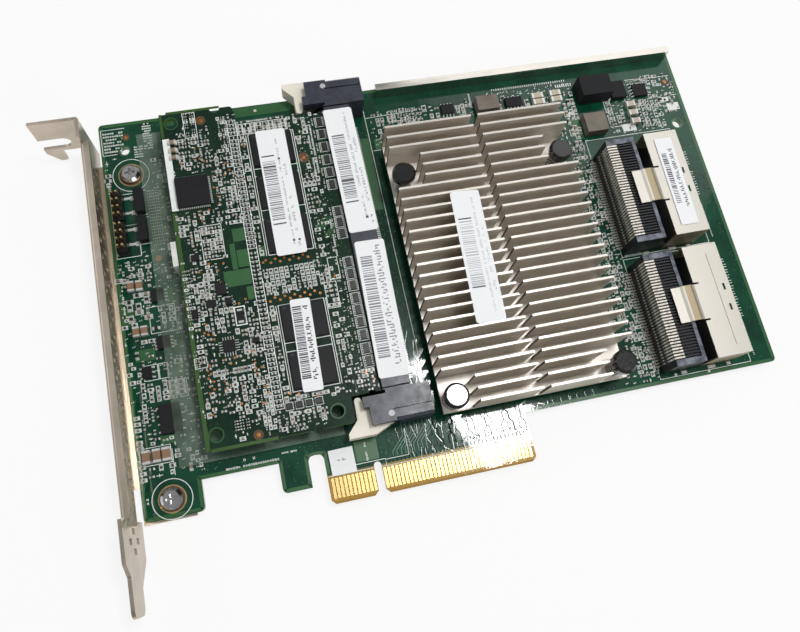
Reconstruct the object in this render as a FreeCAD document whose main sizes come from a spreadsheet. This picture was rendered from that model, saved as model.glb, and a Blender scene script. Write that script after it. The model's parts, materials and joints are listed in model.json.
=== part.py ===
import FreeCAD, Part
import Sketcher  # registers the sketch objects
import os
import re

# A full-height, half-length edge-connector storage controller card, lying component side up.
# Sketches use the board frame: X from the board's bracket edge, Y up from the edge connector's
# lower edge, Z up from the component face. Each sub-part is then placed so that the origin of
# the model is the middle of the connector's key.

SIZES = {
    # main board
    "board_length": 167.65, "board_top": 111.15, "board_bottom": 12.28, "board_thick": 1.57,
    "board_round": 1.2, "leg_right": 14.17, "leg_bottom": 4.95, "foot_left": 32.7,
    "foot_right": 39.8, "relief_y": 10.9, "tongue_left": 43.65, "tongue_right": 95.85,
    "tongue_chamfer": 1.0, "tongue_bevel": 0.5, "key_x": 56.25, "key_wide": 1.9, "key_y": 6.95,
    "tooling_x": 6.2, "tooling_y": 102.5, "tooling_r": 1.2,
    "far_tooling_x": 163.5, "far_tooling_y": 86.5, "far_tooling_r": 1.4,
    # edge contacts
    "finger_wide": 0.7, "finger_low": 1.2, "finger_high": 6.1, "finger_thick": 0.04,
    "finger_pitch": 1.0, "short_row": 11, "long_row": 38, "key_to_finger": 1.5,
    # bracket
    "sheet_thick": 0.86, "bracket_face": -1.2, "bracket_low": -3.4, "bracket_high": 14.5,
    "bracket_top": 105.2, "bracket_end": -14.82, "end_low": 2.5, "end_high": 11.5,
    "taper_start": -3.2, "taper_end": -9.0, "taper_high": -6.2, "end_round": 2.0,
    "lip_height": 12.0, "lip_reach": 1.3, "lip_start": 6.2, "lip_end": 99.5,
    "gap_start": 5.6, "gap_end": 13.3, "gap_height": 1.1, "bend_round": 0.8,
    "tab_depth": 11.43, "slot_wide": 4.42, "slot_deep": 5.5, "slot_z": 4.9,
    "tab_cut": 2.5, "tab_cut_z": 4.0, "relief_far": 7.2, "relief_near": 1.6, "relief_z": 1.4,
    "vent_wide": 2.2, "vent_tall": 1.4, "vent_pitch": 4.5, "vent_rows": 22,
    "vent_first": -1.0, "vent_z": 5.6, "vent_side": 3.15,
    "ear_reach": 12.0, "ear_half": 4.8, "web_reach": 3.2, "collar_r": 2.4, "collar_high": 0.8,
    # bracket screws
    "screw_x": 7.05, "screw_low_y": 9.2, "screw_high_y": 94.95, "screw_r": 1.45, "screw_hole": 1.7,
    "screw_end": -3.3, "head_r": 2.6, "head_high": 1.8, "head_bevel": 0.7, "recess_long": 2.6,
    "recess_wide": 0.6, "recess_deep": 0.9,
    # stiffener bar
    "bar_left": 76.5, "bar_end": 1.35, "bar_inset": 0.85, "bar_thick": 2.0, "bar_high": 3.8,
    "leg_x": 84.0, "leg_pitch": 26.0, "legs": 4, "leg_wide": 1.6, "leg_thick": 1.0, "leg_end": 0.6,
    "leg_slack": 0.05,
    # controller chip and heat sink
    "chip_x": 98.95, "chip_y": 48.2, "chip_side": 37.5, "chip_thick": 1.6, "lid_side": 28.0,
    "lid_thick": 0.7, "pad_thick": 0.2, "sink_left": 74.45, "sink_right": 123.4, "base_thick": 1.5,
    "sink_top": 13.9, "fin_thick": 0.6, "fin_first": 15.9, "fin_pitch": 2.988, "fin_count": 26,
    "channel_x": 98.9, "channel_wide": 1.8, "corner_wide": 7.65, "corner_fins": 3, "corner_row": 20,
    "cut_past": 1.0,
    "pin_x": 77.2, "pin_span": 43.5, "pin_y": 18.4, "pin_rise": 59.6, "pin_r": 1.4,
    "pin_slack": 0.1, "pin_head_r": 3.1, "pin_head_z": 10.2, "pin_head_high": 1.9,
    "head_edge": 0.6, "barb_proud": 0.35, "barb_high": 1.5, "barb_tip": 0.5, "pin_slit": 0.5,
    "spring_slack": 0.6, "spring_wall": 0.5,
    # memory module
    "module_left": 17.0, "module_right": 64.0, "module_low": 17.5, "module_high": 107.3,
    "module_z": 7.0, "module_thick": 1.2, "neck_low": 23.9, "neck_high": 102.1,
    "shoulder_low": 52.7, "shoulder_high": 36.4, "module_round": 1.0, "module_hole": 1.5,
    "hole_left": 20.0, "hole_right": 48.9, "hole_low": 21.0, "hole_high": 104.4,
    "bite_low_x": 33.0, "bite_low_far_x": 43.8, "bite_high_x": 31.7, "bite_r": 1.3,
    "latch_bite_x": 58.0, "latch_bite_r": 0.8,
    "memory_x": 45.0, "memory_wide": 11.0, "memory_long": 11.2, "memory_high": 1.1,
    "memory_low_y": 33.0, "memory_step": 12.3, "memory_high_y": 69.6,
    "post_left": 15.7, "post_right": 18.4, "post_low": 64.2, "post_long": 6.6, "post_rise": 0.5,
    "film_left": 9.8, "film_right": 49.8, "film_low": 15.8, "film_high": 106.0, "film_z": 1.3,
    "film_thick": 0.15, "film_slack": 0.3,
    # module socket
    "socket_mid": 63.25, "socket_half": 47.35, "beam_left": 60.4, "beam_right": 67.3,
    "beam_half": 39.6, "socket_high": 8.6, "mouth_slack": 0.12, "tower_right": 71.7,
    "tower_left": 56.4, "tower_nose": 55.1, "nose_out": 43.0, "nose_in": 40.45,
    "tower_step": 60.9, "plate_low": 1.2, "plate_high": 5.9, "pocket_right": 63.6,
    "split_in": 38.95, "split_out": 39.35, "split_deep": 1.2,
    "groove_left": 61.6, "groove_in": 44.5, "groove_out": 44.8, "groove_deep": 0.5,
    "slope_left": 62.3, "slope": 0.7,
    "tail_first": -36.3, "tail_pitch": 0.6, "tails": 122, "tail_wide": 0.3, "tail_reach": 2.1,
    "tail_thick": 0.25,
    # module latches
    "latch_low": 1.4, "latch_gap": 0.1, "pivot_x": 61.35, "pivot_out": 45.5, "pivot_r": 0.75,
    "pivot_slack": 0.05, "boss_r": 1.7, "nose_x": 54.05, "nose_r": 0.85, "nose_from": 40.65,
    "grip_x": 50.5, "grip_out": 49.35, "grip_in": 48.1, "waist_out": 45.1, "heel_x": 61.0,
    "heel_out": 47.6, "back_x": 57.2,
    # drive connectors
    "port_left": 145.9, "port_right": 155.6, "port_wide": 30.5, "port_y": 30.15, "port_pitch": 34.3,
    "port_high": 9.8, "cage_thick": 0.35, "block_left": 134.9, "block_high": 9.2, "block_step": 143.2,
    "step_high": 4.0, "floor_high": 1.2, "floor_back": 0.5, "port_tab_wide": 9.5,
    "tab_reach": 6.7, "tab_rise": 0.6, "tab_bend": 1.4, "tab_crest": 3.6, "tab_dip": 4.2,
    "tab_inside": 0.2, "slit_wide": 0.5, "slit_deep": 1.4, "bay_left": 137.6, "bay_right": 142.2,
    "bay_wide": 27.4, "bay_deep": 0.8, "bead_x": 152.3, "bead_wide": 0.8, "bead_long": 25.0,
    "bead_high": 0.15, "notch_x": 153.9, "notch_out": 2.8, "notch_wide": 0.6, "notch_long": 1.8,
    "lead_pitch": 0.8, "lead_count": 34, "lead_wide": 0.4, "lead_thick": 0.25,
    "lead_reach": 2.6, "lead_foot": 1.1,
    # header pins and labels
    "post_side": 0.5, "post_out": 0.6, "post_first": 3.0, "post_pitch": 2.0, "posts": 4,
    "post_tall": 2.4, "label_thick": 0.12, "label_cut": 0.6,
}

# Rectangular components: middle x, middle y, width along x, length along y, height.
COMPONENTS = {
    "module_controller": (23.1, 83.8, 8.4, 8.4, 0.9),
    "big_choke": (139.95, 100.15, 9.3, 6.3, 5.0),
    "side_choke": (137.6, 89.35, 6.4, 5.9, 3.0),
    "top_choke": (107.6, 100.4, 6.4, 4.5, 3.0),
    "flash": (9.2, 28.2, 5.2, 7.2, 1.3),
    "buffer_one": (9.9, 47.4, 3.3, 3.2, 1.3),
    "buffer_two": (9.9, 59.9, 3.3, 3.4, 1.3),
    "driver": (5.0, 40.5, 2.3, 3.0, 1.0),
    "regulator": (96.2, 101.2, 3.6, 3.0, 1.0),
    "clock": (116.0, 100.6, 5.0, 3.0, 1.0),
    "monitor": (155.0, 98.7, 4.2, 3.8, 1.0),
    "switcher": (147.9, 99.6, 4.6, 5.4, 1.6),
    "upper_header": (3.1, 85.2, 2.6, 8.4, 3.0),
    "lower_header": (3.1, 76.3, 2.6, 8.4, 3.0),
    "upper_jumper": (8.5, 86.5, 2.3, 6.8, 2.6),
    "lower_jumper": (8.5, 78.4, 2.3, 7.0, 2.6),
}

CAPACITORS = {
    "cap_one": (2.4, 19.9, 1.8, 3.2, 1.4), "cap_two": (4.9, 19.9, 1.8, 3.2, 1.4),
    "cap_three": (7.1, 19.9, 1.8, 3.2, 1.4), "cap_four": (3.6, 63.4, 1.6, 2.6, 1.3),
    "cap_five": (5.7, 63.3, 1.6, 2.6, 1.3), "cap_six": (3.6, 51.2, 1.6, 2.4, 1.3),
    "cap_seven": (5.6, 51.2, 1.6, 2.4, 1.3), "cap_eight": (123.3, 101.3, 3.4, 1.6, 1.5),
    "cap_nine": (123.3, 99.3, 3.4, 1.6, 1.5), "cap_ten": (128.8, 101.4, 3.2, 1.6, 1.5),
    "cap_eleven": (128.8, 99.4, 3.2, 1.6, 1.5), "cap_twelve": (150.6, 94.4, 2.6, 1.6, 1.4),
    "cap_thirteen": (150.6, 91.6, 2.6, 1.6, 1.4), "cap_fourteen": (150.6, 88.8, 2.6, 1.6, 1.4),
}

# Labels: middle x, middle y, width along x, length along y, height of the face they lie on.
LABELS = {
    "memory_label": (45.15, 80.05, 7.6, 35.8, "memory"),
    "short_label": (44.0, 38.4, 4.9, 23.6, "memory"),
    "socket_label": (63.95, 83.0, 7.6, 36.3, "socket"),
    "serial_label": (64.3, 44.3, 7.7, 36.0, "socket"),
    "board_label": (47.95, 9.72, 6.1, 6.2, "board"),
    "port_label": (150.7, 64.5, 5.0, 26.0, "port"),
    "sink_label": (90.1, 51.7, 7.6, 35.2, "sink"),
}

BAR_MIDDLE = "(board_top - bar_inset - bar_thick / 2)"

doc = FreeCAD.newDocument("storage_controller_card")
sheet = doc.addObject("Spreadsheet::Sheet", "sizes")
subparts = []


def fill_sheet():
    cells = dict(SIZES)
    for table in (COMPONENTS, CAPACITORS):
        for name, row in table.items():
            for ending, number in zip(("x", "y", "wide", "long", "high"), row):
                cells[f"{name}_{ending}"] = number
    for name, row in LABELS.items():
        for ending, number in zip(("x", "y", "wide", "long"), row):
            cells[f"{name}_{ending}"] = number
    for row, (alias, number) in enumerate(cells.items(), start=1):
        sheet.set(f"A{row}", alias)
        sheet.set(f"B{row}", str(number))
        sheet.setAlias(f"B{row}", alias)
    doc.recompute()


def full(text):
    """The expression with each size's name led by the sheet's name."""
    return re.sub(r"\b(?!sqrt\b)[a-z][a-z0-9_]*\b", lambda word: "sizes." + word.group(0), text)


def value(text):
    return float(sheet.evalExpression(full(text)))


# ---- helpers for bodies and sketches ----

def new_body(label, x="-key_x", y="0", z="0"):
    body = doc.addObject("PartDesign::Body", label)
    body.Label = label
    body.AllowCompound = True
    for axis, text in (("x", x), ("y", y), ("z", z)):
        body.setExpression(f"Placement.Base.{axis}", full(text))
    subparts.append(body)
    return body


def origin_feature(body, role):
    return next(item for item in body.Origin.OriginFeatures if item.Role == role)


def new_sketch(body, plane, height, draw):
    sketch = body.newObject("Sketcher::SketchObject", "Sketch")
    sketch.AttachmentSupport = (origin_feature(body, plane), [""])
    sketch.MapMode = "FlatFace"
    sketch.setExpression("AttachmentOffset.Base.z", full(height))
    draw(sketch)
    return sketch


def settle(body, feature):
    """Makes a new feature the body's tip and stops if it failed."""
    body.Tip = feature
    doc.recompute()
    if "Invalid" in feature.State or "Error" in feature.State or feature.Shape.isNull():
        raise RuntimeError(f"{body.Label}: {feature.Name} failed")
    return feature


def pad(body, draw, length, height="0", plane="XY_Plane", down=False):
    feature = body.newObject("PartDesign::Pad", "Pad")
    feature.Profile = new_sketch(body, plane, height, draw)
    feature.setExpression("Length", full(length))
    feature.Reversed = down
    return settle(body, feature)


def pocket(body, draw, length, height="0", plane="XY_Plane", up=False):
    feature = body.newObject("PartDesign::Pocket", "Pocket")
    feature.Profile = new_sketch(body, plane, height, draw)
    feature.setExpression("Length", full(length))
    feature.Reversed = up
    return settle(body, feature)


def revolve(body, draw):
    """A full turn of a sketch on the XZ plane about its vertical axis."""
    feature = body.newObject("PartDesign::Revolution", "Revolution")
    sketch = new_sketch(body, "XZ_Plane", "0", draw)
    feature.Profile = sketch
    feature.ReferenceAxis = (sketch, ["V_Axis"])
    feature.Angle = 360
    return settle(body, feature)


def repeat(body, feature, role, count, pitch):
    pattern = body.newObject("PartDesign::LinearPattern", "Row")
    pattern.Originals = [feature]
    pattern.Direction = (origin_feature(body, role), [""])
    pattern.setExpression("Occurrences", full(count))
    pattern.setExpression("Length", full(f"({count} - 1) * {pitch}"))
    return settle(body, pattern)


def dress(body, kind, text, wanted):
    """A fillet or chamfer on the edges that wanted() accepts, given the points at their ends."""
    base = body.Tip
    names = []
    for number, edge in enumerate(base.Shape.Edges, start=1):
        if wanted([vertex.Point for vertex in edge.Vertexes]):
            names.append(f"Edge{number}")
    if not names:
        raise RuntimeError(f"{body.Label}: no edge to dress")
    feature = body.newObject(f"PartDesign::{kind}", kind)
    feature.Base = (base, names)
    feature.setExpression("Radius" if kind == "Fillet" else "Size", full(text))
    return settle(body, feature)


def near(number, text):
    return abs(number - value(text)) < 1e-4


def at(**places):
    """Accepts an edge whose ends all have the stated coordinates."""
    return lambda tips: all(near(getattr(tip, axis), text)
                            for tip in tips for axis, text in places.items())


def at_corners(corners, axes="xy"):
    """Accepts an edge that stands upright on a corner of a drawing in the plane of two axes."""
    return lambda tips: any(at(**dict(zip(axes, corner)))(tips) for corner in corners)


def polygon(corners):
    """A drawing of a closed outline through corners, each a pair of expressions."""
    def draw(sketch):
        first = sketch.GeometryCount
        count = len(corners)
        points = [FreeCAD.Vector(value(x), value(y), 0) for x, y in corners]
        for index in range(count):
            line = Part.LineSegment(points[index], points[(index + 1) % count])
            sketch.addGeometry(line, False)
        for index in range(count):
            following = first + (index + 1) % count
            sketch.addConstraint(Sketcher.Constraint("Coincident", first + index, 2, following, 1))
        for index, (x, y) in enumerate(corners):
            hold(sketch, "DistanceX", first + index, 1, x)
            hold(sketch, "DistanceY", first + index, 1, y)
    return draw


def hold(sketch, kind, geometry, point, text):
    """Ties a point's distance from the sketch's origin to an expression."""
    rule = Sketcher.Constraint(kind, -1, 1, geometry, point, value(text))
    index = sketch.addConstraint(rule)
    sketch.setExpression(f"Constraints[{index}]", full(text))


def rectangle(left, low, right, high):
    return polygon([(left, low), (right, low), (right, high), (left, high)])


def centred(x, y, wide, long):
    return rectangle(f"{x} - {wide} / 2", f"{y} - {long} / 2",
                     f"{x} + {wide} / 2", f"{y} + {long} / 2")


def block(name):
    """The outline of a component that has its own five cells."""
    return centred(f"{name}_x", f"{name}_y", f"{name}_wide", f"{name}_long")


def circle(x, y, radius):
    def draw(sketch):
        centre = FreeCAD.Vector(value(x), value(y), 0)
        index = sketch.addGeometry(Part.Circle(centre, FreeCAD.Vector(0, 0, 1), value(radius)))
        hold(sketch, "DistanceX", index, 3, x)
        hold(sketch, "DistanceY", index, 3, y)
        size = sketch.addConstraint(Sketcher.Constraint("Radius", index, value(radius)))
        sketch.setExpression(f"Constraints[{size}]", full(radius))
    return draw


def together(*drawings):
    def draw(sketch):
        for drawing in drawings:
            drawing(sketch)
    return draw


# ---- main board and what is fixed to it ----

def make_main_board():
    body = new_body("main_board")
    cut_left = "key_x - key_wide / 2"
    cut_right = "key_x + key_wide / 2"
    outline = [
        ("0", "leg_bottom"), ("leg_right", "leg_bottom"), ("leg_right", "board_bottom"),
        ("foot_left", "board_bottom"), ("foot_left", "leg_bottom"),
        ("foot_right", "leg_bottom"), ("foot_right", "relief_y"),
        ("tongue_left", "relief_y"), ("tongue_left", "tongue_chamfer"),
        ("tongue_left + tongue_chamfer", "0"), (f"{cut_left} - tongue_chamfer", "0"),
        (cut_left, "tongue_chamfer"), (cut_left, "key_y"), (cut_right, "key_y"),
        (cut_right, "tongue_chamfer"), (f"{cut_right} + tongue_chamfer", "0"),
        ("tongue_right - tongue_chamfer", "0"), ("tongue_right", "tongue_chamfer"),
        ("tongue_right", "board_bottom"), ("board_length", "board_bottom"),
        ("board_length", "board_top"), ("0", "board_top"),
    ]
    pad(body, polygon(outline), "board_thick", down=True)
    corners = [("0", "board_top"), ("board_length", "board_top"),
               ("board_length", "board_bottom"), ("0", "leg_bottom"),
               ("leg_right", "leg_bottom"), ("foot_left", "leg_bottom")]
    dress(body, "Fillet", "board_round", at_corners(corners))
    level = at(y="0")
    dress(body, "Chamfer", "tongue_bevel", lambda tips: level(tips) and tips[0].z == tips[1].z)
    round_ends = together(
        circle("(foot_right + tongue_left) / 2", "relief_y", "(tongue_left - foot_right) / 2"),
        circle("key_x", "key_y", "key_wide / 2"))
    pocket(body, round_ends, "board_thick")
    holes = [circle("screw_x", "screw_low_y", "screw_hole"),
             circle("screw_x", "screw_high_y", "screw_hole"),
             circle("tooling_x", "tooling_y", "tooling_r"),
             circle("far_tooling_x", "far_tooling_y", "far_tooling_r")]
    for x in ("pin_x", "pin_x + pin_span"):
        for y in ("pin_y", "pin_y + pin_rise"):
            holes.append(circle(x, y, "pin_r + pin_slack"))
    pocket(body, together(*holes), "board_thick")
    leg_hole = pocket(body, centred("leg_x", BAR_MIDDLE, "(leg_wide + 2 * leg_slack)",
                                    "(leg_thick + 2 * leg_slack)"), "board_thick")
    repeat(body, leg_hole, "X_Axis", "legs", "leg_pitch")


def make_edge_contacts():
    body = new_body("edge_contacts")
    rows = (("key_x - key_to_finger - (short_row - 1) * finger_pitch", "short_row"),
            ("key_x + key_to_finger", "long_row"))
    for height, down in (("0", False), ("-board_thick", True)):
        for first, count in rows:
            shape = rectangle(f"{first} - finger_wide / 2", "finger_low",
                              f"{first} + finger_wide / 2", "finger_high")
            finger = pad(body, shape, "finger_thick", height, down=down)
            repeat(body, finger, "X_Axis", count, "finger_pitch")


def make_bracket():
    """One bent steel sheet: vented plate, tab, stiffening lip, web and two threaded ears."""
    body = new_body("bracket")
    back = "bracket_face - sheet_thick"
    web_low = "-board_thick - sheet_thick"
    plate = [
        ("bracket_end", "end_low"), ("taper_end", "end_low"), ("taper_start", "bracket_low"),
        ("gap_start", "bracket_low"), ("gap_start", "gap_height"), ("gap_end", "gap_height"),
        ("gap_end", web_low), ("lip_end", web_low), ("lip_end", "bracket_low"),
        ("bracket_top", "bracket_low"), ("bracket_top", "bracket_high"),
        ("lip_end", "bracket_high"), ("lip_end", "lip_height"), ("lip_start", "lip_height"),
        ("lip_start", "bracket_high"), ("taper_start", "bracket_high"),
        ("taper_high", "end_high"), ("bracket_end", "end_high"),
    ]
    pad(body, polygon(plate), "sheet_thick", back, "YZ_Plane")
    tips = [("bracket_end", "end_low"), ("bracket_end", "end_high")]
    dress(body, "Fillet", "end_round", at_corners(tips, "yz"))
    tab_end = f"{back} - tab_depth"
    relief_far = f"{back} - relief_far"
    relief_near = f"{back} - relief_near"
    tab = [
        ("bracket_face", "bracket_low"), ("bracket_face", "bracket_high"),
        (tab_end, "bracket_high"), (tab_end, "slot_z + slot_wide / 2"),
        (f"{tab_end} + slot_deep", "slot_z + slot_wide / 2"),
        (f"{tab_end} + slot_deep", "slot_z - slot_wide / 2"),
        (tab_end, "slot_z - slot_wide / 2"), (tab_end, "bracket_low + tab_cut_z"),
        (f"{tab_end} + tab_cut", "bracket_low"), (relief_far, "bracket_low"),
        (relief_far, "relief_z"), (relief_near, "relief_z"), (relief_near, "bracket_low"),
    ]
    pad(body, polygon(tab), "sheet_thick", "-bracket_top", "XZ_Plane")
    slot_end = circle(f"{tab_end} + slot_deep", "slot_z", "slot_wide / 2")
    pocket(body, slot_end, "sheet_thick", "-bracket_top", "XZ_Plane", up=True)
    lip = rectangle(back, "lip_start", "bracket_face + lip_reach", "lip_end")
    pad(body, lip, "sheet_thick", "lip_height", down=True)
    web = [
        (back, "gap_end"), ("bracket_face + sheet_thick", "gap_end"),
        ("bracket_face + sheet_thick", "screw_low_y - ear_half"),
        ("ear_reach", "screw_low_y - ear_half"), ("ear_reach", "screw_low_y + ear_half"),
        ("web_reach", "screw_low_y + ear_half"), ("web_reach", "screw_high_y - ear_half"),
        ("ear_reach", "screw_high_y - ear_half"), ("ear_reach", "lip_end"), (back, "lip_end"),
    ]
    pad(body, polygon(web), "sheet_thick", "-board_thick", down=True)
    bends = [(back, "lip_height"), (back, web_low)]
    dress(body, "Fillet", "bend_round", at_corners(bends, "xz"))
    dress(body, "Fillet", "bend_round", at(x="bracket_face", y="bracket_top"))
    collars = together(circle("screw_x", "screw_low_y", "collar_r"),
                       circle("screw_x", "screw_high_y", "collar_r"))
    pad(body, collars, "collar_high", web_low, down=True)
    threads = together(circle("screw_x", "screw_low_y", "screw_r"),
                       circle("screw_x", "screw_high_y", "screw_r"))
    pocket(body, threads, "sheet_thick + collar_high", "-board_thick")
    middle = centred("vent_first", "vent_z", "vent_tall", "vent_wide")
    cut = pocket(body, middle, "sheet_thick", "bracket_face", "YZ_Plane")
    repeat(body, cut, "Y_Axis", "vent_rows", "vent_pitch")
    shifted = "vent_first + vent_pitch / 2"
    sides = together(centred(shifted, "vent_z - vent_side", "vent_tall", "vent_wide"),
                     centred(shifted, "vent_z + vent_side", "vent_tall", "vent_wide"))
    cut = pocket(body, sides, "sheet_thick", "bracket_face", "YZ_Plane")
    repeat(body, cut, "Y_Axis", "vent_rows", "vent_pitch")


def make_bracket_screws():
    body = new_body("bracket_screws")
    places = ("screw_low_y", "screw_high_y")
    pad(body, together(*(circle("screw_x", y, "head_r") for y in places)), "head_high")
    dress(body, "Chamfer", "head_bevel", at(z="head_high"))
    shanks = together(*(circle("screw_x", y, "screw_r") for y in places))
    pad(body, shanks, "-screw_end", down=True)
    for wide, long in (("recess_long", "recess_wide"), ("recess_wide", "recess_long")):
        slots = together(*(centred("screw_x", y, wide, long) for y in places))
        pocket(body, slots, "recess_deep", "head_high")


def make_stiffener_bar():
    body = new_body("stiffener_bar")
    pad(body, rectangle("bar_left", f"{BAR_MIDDLE} - bar_thick / 2", "board_length - bar_end",
                        f"{BAR_MIDDLE} + bar_thick / 2"), "bar_high")
    leg = pad(body, centred("leg_x", BAR_MIDDLE, "leg_wide", "leg_thick"),
              "board_thick + leg_end", down=True)
    repeat(body, leg, "X_Axis", "legs", "leg_pitch")


# ---- controller chip and heat sink ----

def make_controller_chip():
    body = new_body("controller_chip")
    pad(body, centred("chip_x", "chip_y", "chip_side", "chip_side"), "chip_thick")
    pad(body, centred("chip_x", "chip_y", "lid_side", "lid_side"), "lid_thick", "chip_thick")


def make_thermal_pad():
    body = new_body("thermal_pad")
    shape = centred("chip_x", "chip_y", "lid_side", "lid_side")
    pad(body, shape, "pad_thick", "chip_thick + lid_thick")


def make_heat_sink():
    """A base with a row of straight fins, split by a channel and cut back round the four pins."""
    body = new_body("heat_sink")
    base_low = "chip_thick + lid_thick + pad_thick"
    base_top = f"{base_low} + base_thick"
    first = "fin_first - fin_thick / 2"
    last = "fin_first + (fin_count - 1) * fin_pitch + fin_thick / 2"
    pad(body, rectangle("sink_left", first, "sink_right", last), "base_thick", base_low)
    shape = rectangle("sink_left", first, "sink_right", "fin_first + fin_thick / 2")
    fin = pad(body, shape, f"sink_top - ({base_top})", base_top)
    repeat(body, fin, "Y_Axis", "fin_count", "fin_pitch")
    between = "fin_pitch / 2"
    low_start = f"fin_first - {between}"
    high_start = f"fin_first + corner_row * fin_pitch - {between}"
    cuts = [rectangle("channel_x - channel_wide / 2", f"{first} - cut_past",
                      "channel_x + channel_wide / 2", f"{last} + cut_past")]
    for start in (low_start, high_start):
        end = f"{start} + corner_fins * fin_pitch"
        cuts.append(rectangle("sink_left - cut_past", start, "sink_left + corner_wide", end))
        cuts.append(rectangle("sink_right - corner_wide", start, "sink_right + cut_past", end))
    pocket(body, together(*cuts), f"sink_top - ({base_top})", "sink_top")
    holes = [circle(x, y, "pin_r + pin_slack") for x in ("pin_x", "pin_x + pin_span")
             for y in ("pin_y", "pin_y + pin_rise")]
    pocket(body, together(*holes), "base_thick", base_top)


def four_pins(body, feature):
    """Repeats a pin at the four corners of the heat sink."""
    row = repeat(body, feature, "X_Axis", "2", "pin_span")
    row.Direction2 = (origin_feature(body, "Y_Axis"), [""])
    row.Occurrences2 = 2
    row.setExpression("Length2", full("pin_rise"))
    doc.recompute()


def make_push_pins():
    """Round heads on square shanks, split and barbed below the board."""
    body = new_body("push_pins", "pin_x - key_x", "pin_y")
    side = "(sqrt(2) * pin_r)"
    barb = "(pin_r + pin_slack + barb_proud)"
    low = "-board_thick"
    top = "pin_head_z + pin_head_high"
    head = polygon([
        ("0", "pin_head_z"), ("pin_head_r", "pin_head_z"), ("pin_head_r", f"{top} - head_edge"),
        ("pin_head_r - head_edge", top), ("0", top),
    ])
    four_pins(body, revolve(body, head))
    four_pins(body, pad(body, centred("0", "0", side, side), "pin_head_z + board_thick", low))
    tip = polygon([
        (f"-{barb}", low), (f"-{side} / 2 + barb_tip", f"{low} - barb_high"),
        (f"{side} / 2 - barb_tip", f"{low} - barb_high"), (barb, low),
    ])
    four_pins(body, pad(body, tip, side, f"-{side} / 2", "XZ_Plane"))
    slit = rectangle("-pin_slit / 2", f"-{side}", "pin_slit / 2", side)
    four_pins(body, pocket(body, slit, "barb_high + board_thick", f"{low} - barb_high", up=True))


def make_push_pin_springs():
    """Coil springs between the heat sink's ears and the pin heads, as sleeves."""
    body = new_body("push_pin_springs", "pin_x - key_x", "pin_y")
    low = "chip_thick + lid_thick + pad_thick + base_thick"
    profile = rectangle("pin_r + spring_slack", low, "pin_r + spring_slack + spring_wall",
                        "pin_head_z")
    four_pins(body, revolve(body, profile))


# ---- memory module, its socket and latches ----

def make_module_board():
    body = new_body("module_board")
    outline = [
        ("module_left", "module_low"), ("shoulder_low", "module_low"),
        ("shoulder_low", "neck_low"), ("module_right", "neck_low"),
        ("module_right", "neck_high"), ("shoulder_high", "neck_high"),
        ("shoulder_high", "module_high"), ("module_left", "module_high"),
    ]
    pad(body, polygon(outline), "module_thick", "module_z", down=True)
    corners = [("module_left", "module_low"), ("shoulder_low", "module_low"),
               ("shoulder_high", "module_high"), ("module_left", "module_high")]
    dress(body, "Fillet", "module_round", at_corners(corners))
    cuts = [
        circle("hole_left", "hole_low", "module_hole"),
        circle("hole_left", "hole_high", "module_hole"),
        circle("hole_right", "hole_low", "module_hole"),
        circle("bite_low_x", "module_low", "bite_r"),
        circle("bite_low_far_x", "module_low", "bite_r"),
        circle("bite_high_x", "module_high", "bite_r"),
        circle("latch_bite_x", "neck_low", "latch_bite_r"),
        circle("latch_bite_x", "neck_high", "latch_bite_r"),
    ]
    pocket(body, together(*cuts), "module_thick", "module_z")


def make_memory_chips():
    body = new_body("memory_chips")
    for first, count in (("memory_low_y", "2"), ("memory_high_y", "3")):
        shape = centred("memory_x", first, "memory_wide", "memory_long")
        chip = pad(body, shape, "memory_high", "module_z")
        repeat(body, chip, "Y_Axis", count, "memory_step")


def make_module_controller():
    body = new_body("module_controller")
    pad(body, block("module_controller"), "module_controller_high", "module_z")


def make_module_post():
    """An upright that carries the free edge of the module on a ledge."""
    body = new_body("module_post")
    high = "post_low + post_long"
    pad(body, rectangle("post_left", "post_low", "post_right", high), "module_z - module_thick")
    shape = rectangle("post_left", "post_low", "module_left", high)
    pad(body, shape, "module_thick + post_rise", "module_z - module_thick")


def make_insulating_film():
    body = new_body("insulating_film")
    shape = rectangle("film_left", "film_low", "film_right", "film_high")
    pad(body, shape, "film_thick", "film_z")
    window = rectangle("post_left - film_slack", "post_low - film_slack",
                       "post_right + film_slack", "post_low + post_long + film_slack")
    pocket(body, window, "film_thick", "film_z + film_thick")


def ends(draw):
    """The same drawing at both ends of the socket: draw takes a function from a distance
    outward from the socket's middle to a height up the board."""
    return together(draw(lambda out: f"socket_mid - ({out})"),
                    draw(lambda out: f"socket_mid + ({out})"))


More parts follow.
